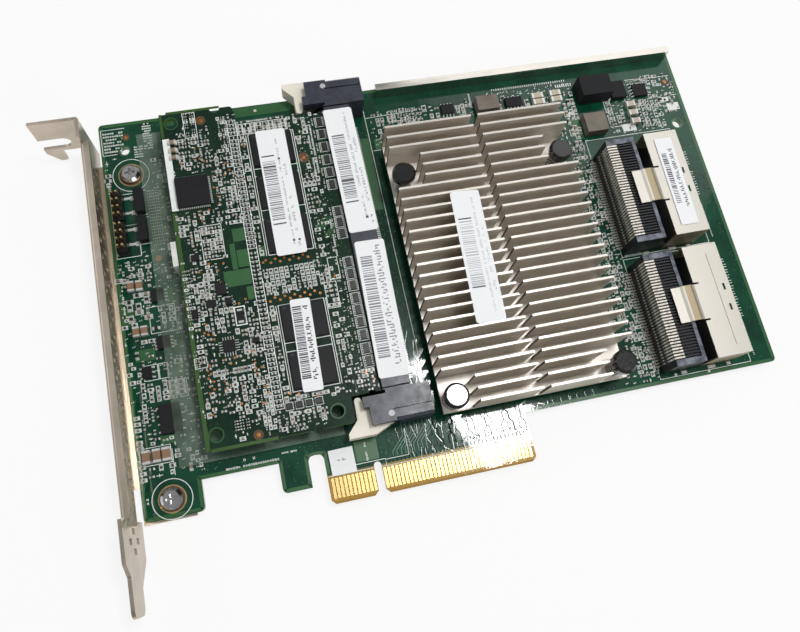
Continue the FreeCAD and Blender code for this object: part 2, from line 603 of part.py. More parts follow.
def make_module_socket():
    """A slotted beam between two towers, each two plates joined by a block, open for a latch."""
    body = new_body("module_socket")
    pad(body, rectangle("beam_left", "socket_mid - beam_half",
                        "beam_right", "socket_mid + beam_half"), "socket_high")
    mouth_low = "module_z - module_thick - mouth_slack"
    mouth = rectangle("beam_left", "neck_low - mouth_slack", "module_right + mouth_slack",
                      "neck_high + mouth_slack")

    def tower(at):
        return polygon([
            ("tower_left", at("socket_half")), ("tower_right", at("socket_half")),
            ("tower_right", at("beam_half")), ("tower_step", at("beam_half")),
            ("tower_step", at("nose_in")), ("tower_nose", at("nose_in")),
            ("tower_nose", at("nose_out")), ("tower_left", at("nose_out")),
        ])

    def latch_room(at):
        return rectangle("tower_nose - cut_past", at("socket_half + cut_past"),
                         "pocket_right", at("beam_half"))

    def split(at):
        return rectangle("beam_left", at("split_in"), "beam_right", at("split_out"))

    def groove(at):
        return rectangle("groove_left", at("groove_in"), "tower_right", at("groove_out"))

    def slope(at):
        return polygon([(at("socket_half - slope"), "socket_high"),
                        (at("socket_half"), "socket_high"),
                        (at("socket_half"), "socket_high - slope")])

    pad(body, ends(tower), "socket_high")
    pocket(body, ends(latch_room), "plate_high - plate_low", "plate_high")
    pocket(body, mouth, f"module_z + mouth_slack - ({mouth_low})", "module_z + mouth_slack")
    pocket(body, ends(split), "split_deep", "socket_high")
    pocket(body, ends(groove), "groove_deep", "socket_high")
    pocket(body, ends(slope), "tower_right - slope_left", "tower_right", "YZ_Plane")
    pocket(body, ends(pivot_hole), "socket_high", "socket_high")


def pivot_hole(at):
    return circle("pivot_x", at("pivot_out"), "pivot_r")


def make_latch_pivots():
    body = new_body("latch_pivots")
    pad(body, ends(pivot_hole), "socket_high")


def make_latch(label, sign):
    """A lever with a rounded nose beside the module, a flared grip and a pivot boss. It is
    lower than the module's underside, so that it swings out beneath the module's edge."""
    body = new_body(label)

    def at(out):
        return f"socket_mid {sign} ({out})"

    outline = polygon([
        ("nose_x - nose_r", at("nose_from")), ("nose_x - nose_r", at("waist_out")),
        ("grip_x", at("grip_in")), ("grip_x", at("grip_out")), ("back_x", at("grip_out")),
        ("heel_x", at("heel_out")), ("pivot_x + boss_r", at("pivot_out")),
        ("pivot_x", at("pivot_out - boss_r")), ("nose_x + nose_r", at("nose_from")),
    ])
    thick = "module_z - module_thick - latch_gap - latch_low"
    pad(body, outline, thick, "latch_low")
    pad(body, circle("nose_x", at("nose_from"), "nose_r"), thick, "latch_low")
    pad(body, circle("pivot_x", at("pivot_out"), "boss_r"), thick, "latch_low")
    bore = circle("pivot_x", at("pivot_out"), "pivot_r + pivot_slack")
    pocket(body, bore, thick, f"latch_low + {thick}")


def make_socket_contacts():
    body = new_body("socket_contacts")
    y = "socket_mid + tail_first"
    shape = rectangle("beam_right", f"{y} - tail_wide / 2", "beam_right + tail_reach",
                      f"{y} + tail_wide / 2")
    tail = pad(body, shape, "tail_thick")
    repeat(body, tail, "Y_Axis", "tails", "tail_pitch")


# ---- drive connectors ----

def make_port(label, y):
    """A connector's moulded block with its floor under the cage."""
    body = new_body(f"{label}_port_housing", y=y)
    half = "port_wide / 2"
    pad(body, rectangle("block_left", f"-{half}", "block_step", half), "block_high")
    bay = rectangle("bay_left", "-bay_wide / 2", "bay_right", "bay_wide / 2")
    pocket(body, bay, "bay_deep", "block_high")
    step = rectangle("block_step", f"-{half}", "port_left", half)
    pad(body, step, "step_high")
    floor = rectangle("port_left", f"-{half} + cage_thick", "port_right - floor_back",
                      f"{half} - cage_thick")
    pad(body, floor, "floor_high", "cage_thick")


def make_port_contacts(label, y):
    body = new_body(f"{label}_port_contacts", y=y)
    first = "-(lead_count - 1) / 2 * lead_pitch"
    profile = [
        ("block_left - lead_foot", "0"), ("block_left", "0"),
        ("block_left", "block_high"), ("block_left + lead_reach", "block_high"),
        ("block_left + lead_reach", "block_high + lead_thick"),
        ("block_left - lead_thick", "block_high + lead_thick"),
        ("block_left - lead_thick", "lead_thick"), ("block_left - lead_foot", "lead_thick"),
    ]
    lead = pad(body, polygon(profile), "lead_wide", f"-({first}) - lead_wide / 2", "XZ_Plane")
    repeat(body, lead, "Y_Axis", "lead_count", "lead_pitch")


def make_cage(label, y):
    """A folded metal shell open at both ends, with a sprung tab over the block."""
    body = new_body(f"{label}_port_cage", y=y)
    half = "port_wide / 2"
    pad(body, rectangle("port_left", f"-{half}", "port_right", half), "port_high")
    inside = rectangle(f"-{half} + cage_thick", "cage_thick", f"{half} - cage_thick",
                       "port_high - cage_thick")
    pocket(body, inside, "port_right - port_left", "port_right", "YZ_Plane")
    tab_half = "port_tab_wide / 2"
    slits = together(
        rectangle("port_left", f"{tab_half}", "port_left + slit_deep", f"{tab_half} + slit_wide"),
        rectangle("port_left", f"-{tab_half} - slit_wide", "port_left + slit_deep",
                  f"-{tab_half}"))
    pocket(body, slits, "cage_thick", "port_high")
    low = "port_high - cage_thick"
    tab = [
        ("port_left", low), ("port_left", "port_high"),
        ("port_left - tab_bend", "port_high + tab_rise"),
        ("port_left - tab_crest", "port_high + tab_rise"),
        ("port_left - tab_dip", "port_high"), ("port_left - tab_reach", "port_high"),
        ("port_left - tab_reach", low), ("port_left - tab_dip + tab_inside", low),
        ("port_left - tab_crest + tab_inside", f"{low} + tab_rise"),
        ("port_left - tab_bend - tab_inside", f"{low} + tab_rise"),
    ]
    pad(body, polygon(tab), "port_tab_wide", f"-{tab_half}", "XZ_Plane")
    pad(body, centred("bead_x", "0", "bead_wide", "bead_long"), "bead_high", "port_high")
    notches = together(centred("notch_x", "notch_out", "notch_wide", "notch_long"),
                       centred("notch_x", "-notch_out", "notch_wide", "notch_long"))
    pocket(body, notches, "cage_thick", "port_high")


# ---- components and labels ----

def make_components(label, names, height="0"):
    body = new_body(label)
    for name in names:
        pad(body, block(name), f"{name}_high", height)


def make_header_pins():
    body = new_body("header_pins")
    for name in ("upper_header", "lower_header"):
        for side in ("-", "+"):
            shape = centred(f"{name}_x {side} post_out", f"{name}_y - post_first",
                            "post_side", "post_side")
            pin = pad(body, shape, "post_tall", f"{name}_high")
            repeat(body, pin, "Y_Axis", "posts", "post_pitch")


def make_label(name, face):
    body = new_body(name)
    faces = {"memory": "module_z + memory_high", "socket": "socket_high", "board": "0",
             "port": "port_high + bead_high", "sink": "sink_top"}
    pad(body, block(name), "label_thick", faces[face])
    corners = [(f"{name}_x {a} {name}_wide / 2", f"{name}_y {b} {name}_long / 2")
               for a in "+-" for b in "+-"]
    dress(body, "Chamfer", "label_cut", at_corners(corners))


def check():
    for item in doc.Objects:
        if "Invalid" in item.State or "Error" in item.State:
            raise RuntimeError(f"{item.Label} failed: {item.State}")
        if item.TypeId == "PartDesign::Pocket":
            before = item.BaseFeature.Shape.Volume
            if item.Shape.Volume > before - 1e-6:
                raise RuntimeError(f"{item.Label} cuts nothing")
    for body in subparts:
        if body.Shape.isNull() or not body.Shape.isValid():
            raise RuntimeError(f"{body.Label} has no valid shape")


def main():
    fill_sheet()
    make_main_board()
    make_edge_contacts()
    make_bracket()
    make_bracket_screws()
    make_stiffener_bar()
    make_controller_chip()
    make_thermal_pad()
    make_heat_sink()
    make_push_pins()
    make_push_pin_springs()
    make_module_board()
    make_memory_chips()
    make_module_controller()
    make_module_post()
    make_insulating_film()
    make_module_socket()
    make_latch_pivots()
    make_latch("latch_front", "-")
    make_latch("latch_rear", "+")
    make_socket_contacts()
    for label, y in (("lower", "port_y"), ("upper", "port_y + port_pitch")):
        make_port(label, y)
        make_port_contacts(label, y)
        make_cage(label, y)
    make_components("power_choke", ["big_choke"])
    make_components("small_chokes", ["side_choke", "top_choke"])
    make_components("logic_chips", ["flash", "buffer_one", "buffer_two", "driver", "regulator",
                                    "clock", "monitor", "switcher"])
    make_components("capacitors", list(CAPACITORS))
    make_components("headers", ["upper_header", "lower_header", "upper_jumper", "lower_jumper"])
    make_header_pins()
    for name, row in LABELS.items():
        make_label(name, row[4])
    doc.recompute()
    check()
    os.makedirs("parts", exist_ok=True)
    for body in subparts:
        body.Shape.exportStep(f"parts/{body.Label}.step")


main()
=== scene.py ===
"""The looks of an edge-connector storage controller card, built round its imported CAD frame."""

import json
import math
import random

import bpy
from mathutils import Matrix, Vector


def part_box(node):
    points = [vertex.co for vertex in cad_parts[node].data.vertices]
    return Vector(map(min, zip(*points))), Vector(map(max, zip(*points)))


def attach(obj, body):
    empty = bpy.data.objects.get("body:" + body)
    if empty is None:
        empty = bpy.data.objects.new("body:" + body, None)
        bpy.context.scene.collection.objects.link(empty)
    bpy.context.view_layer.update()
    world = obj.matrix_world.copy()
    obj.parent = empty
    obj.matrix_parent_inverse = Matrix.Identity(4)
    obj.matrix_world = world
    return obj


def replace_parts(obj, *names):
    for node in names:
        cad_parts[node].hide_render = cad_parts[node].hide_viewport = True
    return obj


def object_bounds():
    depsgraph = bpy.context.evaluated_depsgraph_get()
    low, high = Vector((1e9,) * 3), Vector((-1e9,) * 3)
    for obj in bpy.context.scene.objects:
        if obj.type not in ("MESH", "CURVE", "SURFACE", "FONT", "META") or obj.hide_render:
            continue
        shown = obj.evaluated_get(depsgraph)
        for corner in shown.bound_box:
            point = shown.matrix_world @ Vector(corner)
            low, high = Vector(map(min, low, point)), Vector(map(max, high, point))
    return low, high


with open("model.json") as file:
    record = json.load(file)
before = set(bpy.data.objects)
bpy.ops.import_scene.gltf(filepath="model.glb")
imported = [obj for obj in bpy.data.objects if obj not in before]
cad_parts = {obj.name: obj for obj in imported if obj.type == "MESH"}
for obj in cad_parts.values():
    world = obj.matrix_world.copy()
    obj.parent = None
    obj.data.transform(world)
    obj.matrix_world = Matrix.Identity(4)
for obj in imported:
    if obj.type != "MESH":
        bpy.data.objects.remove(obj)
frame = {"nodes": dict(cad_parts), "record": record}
cad_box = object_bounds()

MM = 0.001
KEY_X = 56.25  # the connector's key is the model's origin, this far from the board's bracket edge
BOARD = 0.0  # the component face of the main board
INK_HIGH = 0.03  # how far print stands off its board
MODULE = 7.0  # the upper face of the cache module


def place(x, y, z=0.0):
    """A point given in millimetres from the board's bracket edge and the connector's lower edge."""
    return Vector(((x - KEY_X) * MM, y * MM, z * MM))


# ---------------------------------------------------------------- materials

def srgb(red, green, blue):
    """A colour given as it looks, from 0 to 255, as the linear value that Blender works in."""
    parts = []
    for part in (red, green, blue):
        part /= 255
        parts.append(part / 12.92 if part <= 0.04045 else ((part + 0.055) / 1.055) ** 2.4)
    return (*parts, 1.0)


class Paint:
    """A procedural material: short calls for the nodes that this card's surfaces need."""

    def __init__(self, name, **sockets):
        self.material = bpy.data.materials.new(name)
        self.material.use_nodes = True
        self.tree = self.material.node_tree
        self.shader = self.tree.nodes["Principled BSDF"]
        self.place = self.node("ShaderNodeTexCoord").outputs["Object"]
        for name, value in sockets.items():
            self.set(name, value)

    def node(self, kind, **settings):
        made = self.tree.nodes.new(kind)
        for name, value in settings.items():
            setattr(made, name, value)
        return made

    def feed(self, socket, value):
        if isinstance(value, bpy.types.NodeSocket):
            self.tree.links.new(value, socket)
        elif value is not None:
            socket.default_value = value

    def set(self, name, value):
        self.feed(self.shader.inputs[name.replace("_", " ")], value)
        return self

    def stretched(self, x=1.0, y=1.0, z=1.0):
        mapping = self.node("ShaderNodeMapping")
        self.feed(mapping.inputs["Vector"], self.place)
        mapping.inputs["Scale"].default_value = (x, y, z)
        return mapping.outputs["Vector"]

    def noise(self, size, detail=3.0, where=None, roughness=0.55):
        """Noise whose features are about this many millimetres across."""
        made = self.node("ShaderNodeTexNoise")
        self.feed(made.inputs["Vector"], where or self.place)
        made.inputs["Scale"].default_value = 1 / (size * MM)
        made.inputs["Detail"].default_value = detail
        made.inputs["Roughness"].default_value = roughness
        return made.outputs["Fac"]

    def cells(self, size, feature="F1", where=None):
        made = self.node("ShaderNodeTexVoronoi", feature=feature)
        self.feed(made.inputs["Vector"], where or self.place)
        made.inputs["Scale"].default_value = 1 / (size * MM)
        return made.outputs["Distance"]

    def level(self, value, low, high, out_low=0.0, out_high=1.0):
        made = self.node("ShaderNodeMapRange")
        for name, given in (("Value", value), ("From Min", low), ("From Max", high),
                            ("To Min", out_low), ("To Max", out_high)):
            self.feed(made.inputs[name], given)
        return made.outputs["Result"]

    def sum(self, kind, first, second=None):
        made = self.node("ShaderNodeMath", operation=kind)
        self.feed(made.inputs[0], first)
        self.feed(made.inputs[1], second)
        return made.outputs["Value"]

    def blend(self, factor, first, second):
        made = self.node("ShaderNodeMix", data_type="RGBA")
        for index, given in ((0, factor), (6, first), (7, second)):
            self.feed(made.inputs[index], given)
        return made.outputs[2]

    def axis(self, name):
        """One coordinate of the place, in metres."""
        made = self.node("ShaderNodeSeparateXYZ")
        self.feed(made.inputs[0], self.place)
        return made.outputs[name]

    def facing(self, name):
        """How far the surface faces along an axis, from -1 to 1."""
        geometry = self.node("ShaderNodeNewGeometry")
        made = self.node("ShaderNodeSeparateXYZ")
        self.feed(made.inputs[0], geometry.outputs["Normal"])
        return made.outputs[name]

    def bump(self, height, depth, strength=1.0):
        """Raises the surface by the height times this depth in millimetres."""
        made = self.node("ShaderNodeBump")
        made.inputs["Distance"].default_value = depth * MM
        made.inputs["Strength"].default_value = strength
        self.feed(made.inputs["Height"], height)
        for name in ("Normal", "Coat Normal"):
            self.feed(self.shader.inputs[name], made.outputs["Normal"])
        return self


def board_paint(name, mask, deep, edge, rough=0.22, coat=0.3, tongue=None):
    """Solder mask over copper: mottled green faces with routed lines, and bare glass-epoxy edges.
    A tongue (its left end and its height) has no mask on it."""
    paint = Paint(name, IOR=1.5, Specular_IOR_Level=0.1, Coat_Weight=coat, Coat_Roughness=0.05)
    broad = paint.noise(9.0, 4.0)
    lines = paint.cells(1.6, "DISTANCE_TO_EDGE", paint.stretched(1.0, 0.35, 1.0))
    routed = paint.level(lines, 0.02, 0.06, 1.0, 0.0)
    face = paint.blend(paint.level(broad, 0.35, 0.65), deep, mask)
    face = paint.blend(paint.sum("MULTIPLY", routed, 0.35), face, mask)
    side = paint.level(paint.sum("ABSOLUTE", paint.facing("Z")), 0.4, 0.8, 1.0, 0.0)
    colour = paint.blend(side, face, edge)
    if tongue:
        left, high = tongue
        bare = paint.sum("MULTIPLY", paint.level(paint.axis("X"), left, left + 0.2 * MM),
                         paint.level(paint.axis("Y"), high, high - 0.4 * MM))
        resin = paint.blend(paint.noise(0.6, 3.0), srgb(150, 112, 44), srgb(190, 150, 74))
        colour = paint.blend(bare, colour, resin)
    paint.set("Base Color", colour)
    paint.set("Roughness", paint.level(broad, 0.3, 0.7, rough, rough + 0.12))
    return paint.bump(routed, 0.02, 0.2).material


def plastic_paint(name, colour, rough=0.45, grain=0.25, shade=0.8, depth=0.01, **more):
    """Moulded plastic: a fine texture and a slight change of shade."""
    paint = Paint(name, IOR=1.5, **more)
    fine = paint.noise(grain, 2.0)
    broad = paint.noise(4.0, 3.0)
    dark = tuple(part * shade for part in colour[:3]) + (1.0,)
    paint.set("Base Color", paint.blend(paint.level(broad, 0.35, 0.65), dark, colour))
    paint.set("Roughness", paint.level(fine, 0.3, 0.7, rough, rough + 0.1))
    return paint.bump(fine, depth, 0.6).material


def metal_paint(name, colour, rough=0.28, grain=(1.0, 1.0, 12.0), shade=0.82, depth=0.004):
    """Drawn, brushed or plated metal: lines along the grain and a mottled shine."""
    paint = Paint(name, Metallic=1.0)
    fine = paint.noise(1.2, 3.0, paint.stretched(*grain))
    broad = paint.noise(6.0, 3.0)
    dark = tuple(part * shade for part in colour[:3]) + (1.0,)
    paint.set("Base Color", paint.blend(paint.level(broad, 0.3, 0.7), dark, colour))
    paint.set("Roughness", paint.level(fine, 0.25, 0.75, rough - 0.06, rough + 0.1))
    return paint.bump(fine, depth, 0.5).material


def fin_paint():
    """Dull anodised fins whose cut upper edges are bright, with painted shade on the fin ends and a
    painted reflection on the upper face of the base.
    """
    paint = Paint("fin_metal")
    grain = paint.noise(1.5, 3.0, paint.stretched(0.15, 1.0, 1.0))
    level = paint.axis("Z")
    upward = paint.level(paint.facing("Z"), 0.3, 0.8)
    edge = paint.sum("MULTIPLY", paint.level(level, 13.55 * MM, 13.8 * MM), upward)
    base = paint.sum("MULTIPLY", paint.level(level, 4.4 * MM, 4.1 * MM), upward)
    end = paint.level(paint.sum("ABSOLUTE", paint.facing("X")), 0.5, 0.9)
    side = paint.blend(paint.level(grain, 0.3, 0.7), srgb(192, 183, 168), srgb(222, 213, 198))
    # painted shade on the fin ends
    side = paint.blend(end, side, srgb(56, 52, 46))
    # painted reflection, near white, on the upward faces of the base
    side = paint.blend(base, side, srgb(240, 232, 222))
    paint.set("Base Color", paint.blend(edge, side, srgb(196, 192, 184)))
    paint.set("Metallic", paint.level(paint.sum("MAXIMUM", edge, end), 0.0, 1.0, 0.25, 0.8))
    paint.set("Roughness", paint.level(grain, 0.25, 0.75, 0.34, 0.5))
    return paint.bump(grain, 0.01, 0.5).material


def tin_paint():
    """Solder and tinned ends: bright and a little dull."""
    paint = Paint("tin", Metallic=0.35, Roughness=0.3)
    grain = paint.noise(0.5, 2.0)
    paint.set("Base Color", paint.blend(grain, srgb(196, 198, 194), srgb(236, 238, 234)))
    return paint.bump(grain, 0.006, 0.5).material


def ceramic_paint():
    """Fired capacitor bodies: brown ones beside the bracket, pale ones at the far end."""
    paint = Paint("ceramic", IOR=1.5)
    grain = paint.noise(0.5, 3.0)
    brown = paint.blend(grain, srgb(128, 96, 72), srgb(158, 126, 98))
    pale = paint.blend(grain, srgb(168, 156, 136), srgb(204, 194, 176))
    far = paint.level(paint.axis("X"), 0.03, 0.04)
    paint.set("Base Color", paint.blend(far, brown, pale))
    paint.set("Roughness", paint.level(grain, 0.3, 0.7, 0.34, 0.46))
    return paint.bump(grain, 0.008, 0.5).material


def shell_paint():
    """Satin nickel shells, with painted shade on the faces that do not face up and on the slope of
    each sprung tab.
    """
    paint = Paint("port_metal", Metallic=0.7)
    fine = paint.noise(0.35, 3.0)
    along = paint.axis("X")
    # painted shade on the sloping band of each sprung tab
    tab_slope_shade = paint.sum("MULTIPLY", paint.level(along, (142.6 - KEY_X) * MM, (142.8 - KEY_X) * MM),
                    paint.level(along, (145.2 - KEY_X) * MM, (145.0 - KEY_X) * MM))
    upward = paint.level(paint.facing("Z"), 0.2, 0.5)
    satin = paint.blend(fine, srgb(206, 202, 191), srgb(226, 222, 212))
    # painted shade, tan, on the faces that do not face up
    side_shade = paint.blend(fine, srgb(150, 136, 112), srgb(178, 164, 140))
    colour = paint.blend(upward, side_shade, satin)
    paint.set("Base Color", paint.blend(tab_slope_shade, colour, srgb(174, 158, 130)))
    paint.set("Roughness", paint.level(fine, 0.3, 0.7, 0.34, 0.44))
    return paint.bump(fine, 0.004, 0.3).material


def socket_paint():
    """A fine-textured dark moulding with cloudy paler patches of painted sheen."""
    paint = Paint("socket_plastic", IOR=1.5)
    cloud = paint.noise(2.6, 6.0, roughness=0.7)
    fine = paint.noise(0.3, 2.0)
    # the paler cloudy patches are painted sheen
    paint.set("Base Color", paint.blend(paint.level(cloud, 0.35, 0.65), srgb(38, 40, 48),
                                        srgb(62, 66, 80)))
    paint.set("Roughness", paint.level(cloud, 0.35, 0.65, 0.4, 0.26))
    return paint.bump(fine, 0.012, 0.6).material


def film_paint():
    """Thin clear film, lightly frosted, with a green cast."""
    paint = Paint("film", IOR=1.4, Specular_IOR_Level=0.3)
    haze = paint.noise(5.0, 3.0)
    paint.set("Base Color", paint.blend(haze, srgb(120, 138, 120), srgb(168, 184, 170)))
    paint.set("Roughness", paint.level(haze, 0.3, 0.7, 0.15, 0.3))
    paint.set("Alpha", paint.level(haze, 0.3, 0.7, 0.12, 0.26))
    return paint.bump(haze, 0.05, 0.6).material


def paper_paint():
    """Matt label paper, faintly mottled."""
    paint = Paint("label_paper", Roughness=0.62, IOR=1.45)
    fibre = paint.noise(0.3, 4.0)
    paint.set("Base Color", paint.blend(fibre, srgb(234, 236, 238), srgb(246, 247, 247)))
    return paint.bump(fibre, 0.006, 0.4).material


PAINTS = {
    "solder_mask": board_paint("solder_mask", srgb(4, 72, 48), srgb(2, 52, 36),
                               srgb(84, 138, 88), coat=0.8,
                               tongue=((43.0 - KEY_X) * MM, 7.2 * MM)),
    "module_mask": board_paint("module_mask", srgb(26, 52, 38), srgb(16, 38, 28),
                               srgb(92, 128, 60)),
    "gold": metal_paint("gold", srgb(220, 192, 130), 0.34, (1.0, 6.0, 1.0)),
    "bracket_steel": metal_paint("bracket_steel", srgb(200, 188, 172), 0.32, (1.0, 0.1, 1.0)),
    "screw_steel": metal_paint("screw_steel", srgb(214, 214, 214), 0.16),
    "bar_steel": metal_paint("bar_steel", srgb(214, 210, 202), 0.12, (0.1, 1.0, 1.0), 0.9, 0.001),
    "package": plastic_paint("package", srgb(30, 30, 33), 0.42, 0.12, Specular_IOR_Level=0.2),
    "gap_pad": plastic_paint("gap_pad", srgb(150, 152, 160), 0.7),
    "fin_metal": fin_paint(),
    "pin_black": plastic_paint("pin_black", srgb(14, 14, 16), 0.14, 0.6, 0.9, 0.002,
                               Coat_Weight=0.6, Coat_Roughness=0.05),
    "spring_steel": metal_paint("spring_steel", srgb(190, 188, 184), 0.2),
    "white_plastic": plastic_paint("white_plastic", srgb(232, 232, 228), 0.4),
    "film": film_paint(),
    "socket_plastic": socket_paint(),
    "ivory_plastic": plastic_paint("ivory_plastic", srgb(237, 232, 215), 0.4, 0.4, 0.95),
    "tin": tin_paint(),
    "port_black": plastic_paint("port_black", srgb(20, 21, 24), 0.3, 0.4, Specular_IOR_Level=0.3),
    "port_metal": shell_paint(),
    "choke_moulding": plastic_paint("choke_moulding", srgb(124, 116, 104), 0.6, 0.25, 0.74, 0.03),
    "choke_black": plastic_paint("choke_black", srgb(30, 31, 34), 0.5, 0.2, Specular_IOR_Level=0.2),
    "ceramic": ceramic_paint(),
    "label": paper_paint(),
}

finish_of = {row["node"]: row["material_slot"] for row in frame["record"]["subparts"]}
for name, node in frame["nodes"].items():
    for holder in node.material_slots:
        holder.material = PAINTS[finish_of[name]]
pivot_grey = plastic_paint("pivot_grey", srgb(190, 193, 202), 0.4)
for holder in frame["nodes"]["latch_pivots"].material_slots:
    holder.material = pivot_grey

# ---------------------------------------------------------------- camera and light

CAMERA_PLACE = (-14.55, -5.31, 179.76)  # millimetres in the model's frame
CAMERA_TURN = (16.503, -5.435, -12.204)  # degrees
LENS = 32.38

camera = bpy.data.objects.new("camera", bpy.data.cameras.new("camera"))
bpy.context.collection.objects.link(camera)
camera.location = Vector(CAMERA_PLACE) * MM
camera.rotation_euler = [math.radians(turn) for turn in CAMERA_TURN]
camera.data.lens = LENS
camera.data.sensor_width = 36.0
camera.data.clip_start = 0.005
bpy.context.scene.camera = camera


def lamp(name, where, target, power, width, height):
    """A soft rectangular lamp at a point, turned towards another, both in metres."""
    made = bpy.data.objects.new(name, bpy.data.lights.new(name, "AREA"))
    bpy.context.collection.objects.link(made)
    made.location = where
    made.rotation_euler = (Vector(target) - Vector(where)).to_track_quat("-Z", "Y").to_euler()
    made.data.shape = "RECTANGLE"
    made.data.size = width
    made.data.size_y = height
    made.data.energy = power


lamp("key_lamp", (0.172, 0.1, 0.6), (0.03, 0.03, 0.0), 1.75, 0.15, 0.08)
lamp("left_lamp", (-0.55, 0.35, 0.6), (0.02, 0.05, 0.0), 1.2, 0.6, 0.6)
lamp("front_lamp", (0.3, -0.6, 0.5), (0.02, 0.05, 0.0), 1.4, 0.6, 0.4)
lamp("back_lamp", (0.42, 0.5, 0.55), (0.04, 0.08, 0.0), 0.6, 0.45, 0.35)

world = bpy.data.worlds.new("world")
bpy.context.scene.world = world
world.use_nodes = True
tree = world.node_tree
background = tree.nodes["Background"]
path = tree.nodes.new("ShaderNodeLightPath")
seen = tree.nodes.new("ShaderNodeMath")
seen.operation = "MAXIMUM"
tree.links.new(path.outputs["Is Camera Ray"], seen.inputs[0])
tree.links.new(path.outputs["Is Transmission Ray"], seen.inputs[1])
strength = tree.nodes.new("ShaderNodeMapRange")
strength.inputs["To Min"].default_value = 0.28
strength.inputs["To Max"].default_value = 1.0
tree.links.new(seen.outputs["Value"], strength.inputs["Value"])
tree.links.new(strength.outputs["Result"], background.inputs["Strength"])
background.inputs["Color"].default_value = (1.0, 1.0, 1.0, 1.0)


def white_floor():
    """A pale floor that shows white to the camera and still takes the card's shadow."""
    paint = Paint("floor_white", Roughness=0.9)
    paint.set("Base Color", srgb(236, 236, 234))
    glow = paint.node("ShaderNodeEmission")
    mixer = paint.node("ShaderNodeMixShader")
    ray = paint.node("ShaderNodeLightPath")
    either = paint.sum("MAXIMUM", ray.outputs["Is Camera Ray"], ray.outputs["Is Glossy Ray"])
    either = paint.sum("MAXIMUM", either, ray.outputs["Is Transmission Ray"])
    paint.feed(mixer.inputs["Fac"], paint.sum("MULTIPLY", either, 0.85))
    paint.feed(mixer.inputs[1], paint.shader.outputs["BSDF"])
    paint.feed(mixer.inputs[2], glow.outputs["Emission"])
    output = paint.tree.nodes["Material Output"]
    paint.feed(output.inputs["Surface"], mixer.outputs["Shader"])
    return paint.material


FLOOR_HALF = 1.5
floor_level = cad_box[0][2]
floor_mesh = bpy.data.meshes.new("floor")
corners = [(-1, -1), (1, -1), (1, 1), (-1, 1)]
floor_mesh.from_pydata([(x * FLOOR_HALF, y * FLOOR_HALF, floor_level) for x, y in corners],
                       [], [(0, 1, 2, 3)])
floor_mesh.materials.append(white_floor())
floor = bpy.data.objects.new("floor", floor_mesh)
bpy.context.collection.objects.link(floor)

view = bpy.context.scene.view_settings
view.view_transform = "Standard"

# ---------------------------------------------------------------- shapes

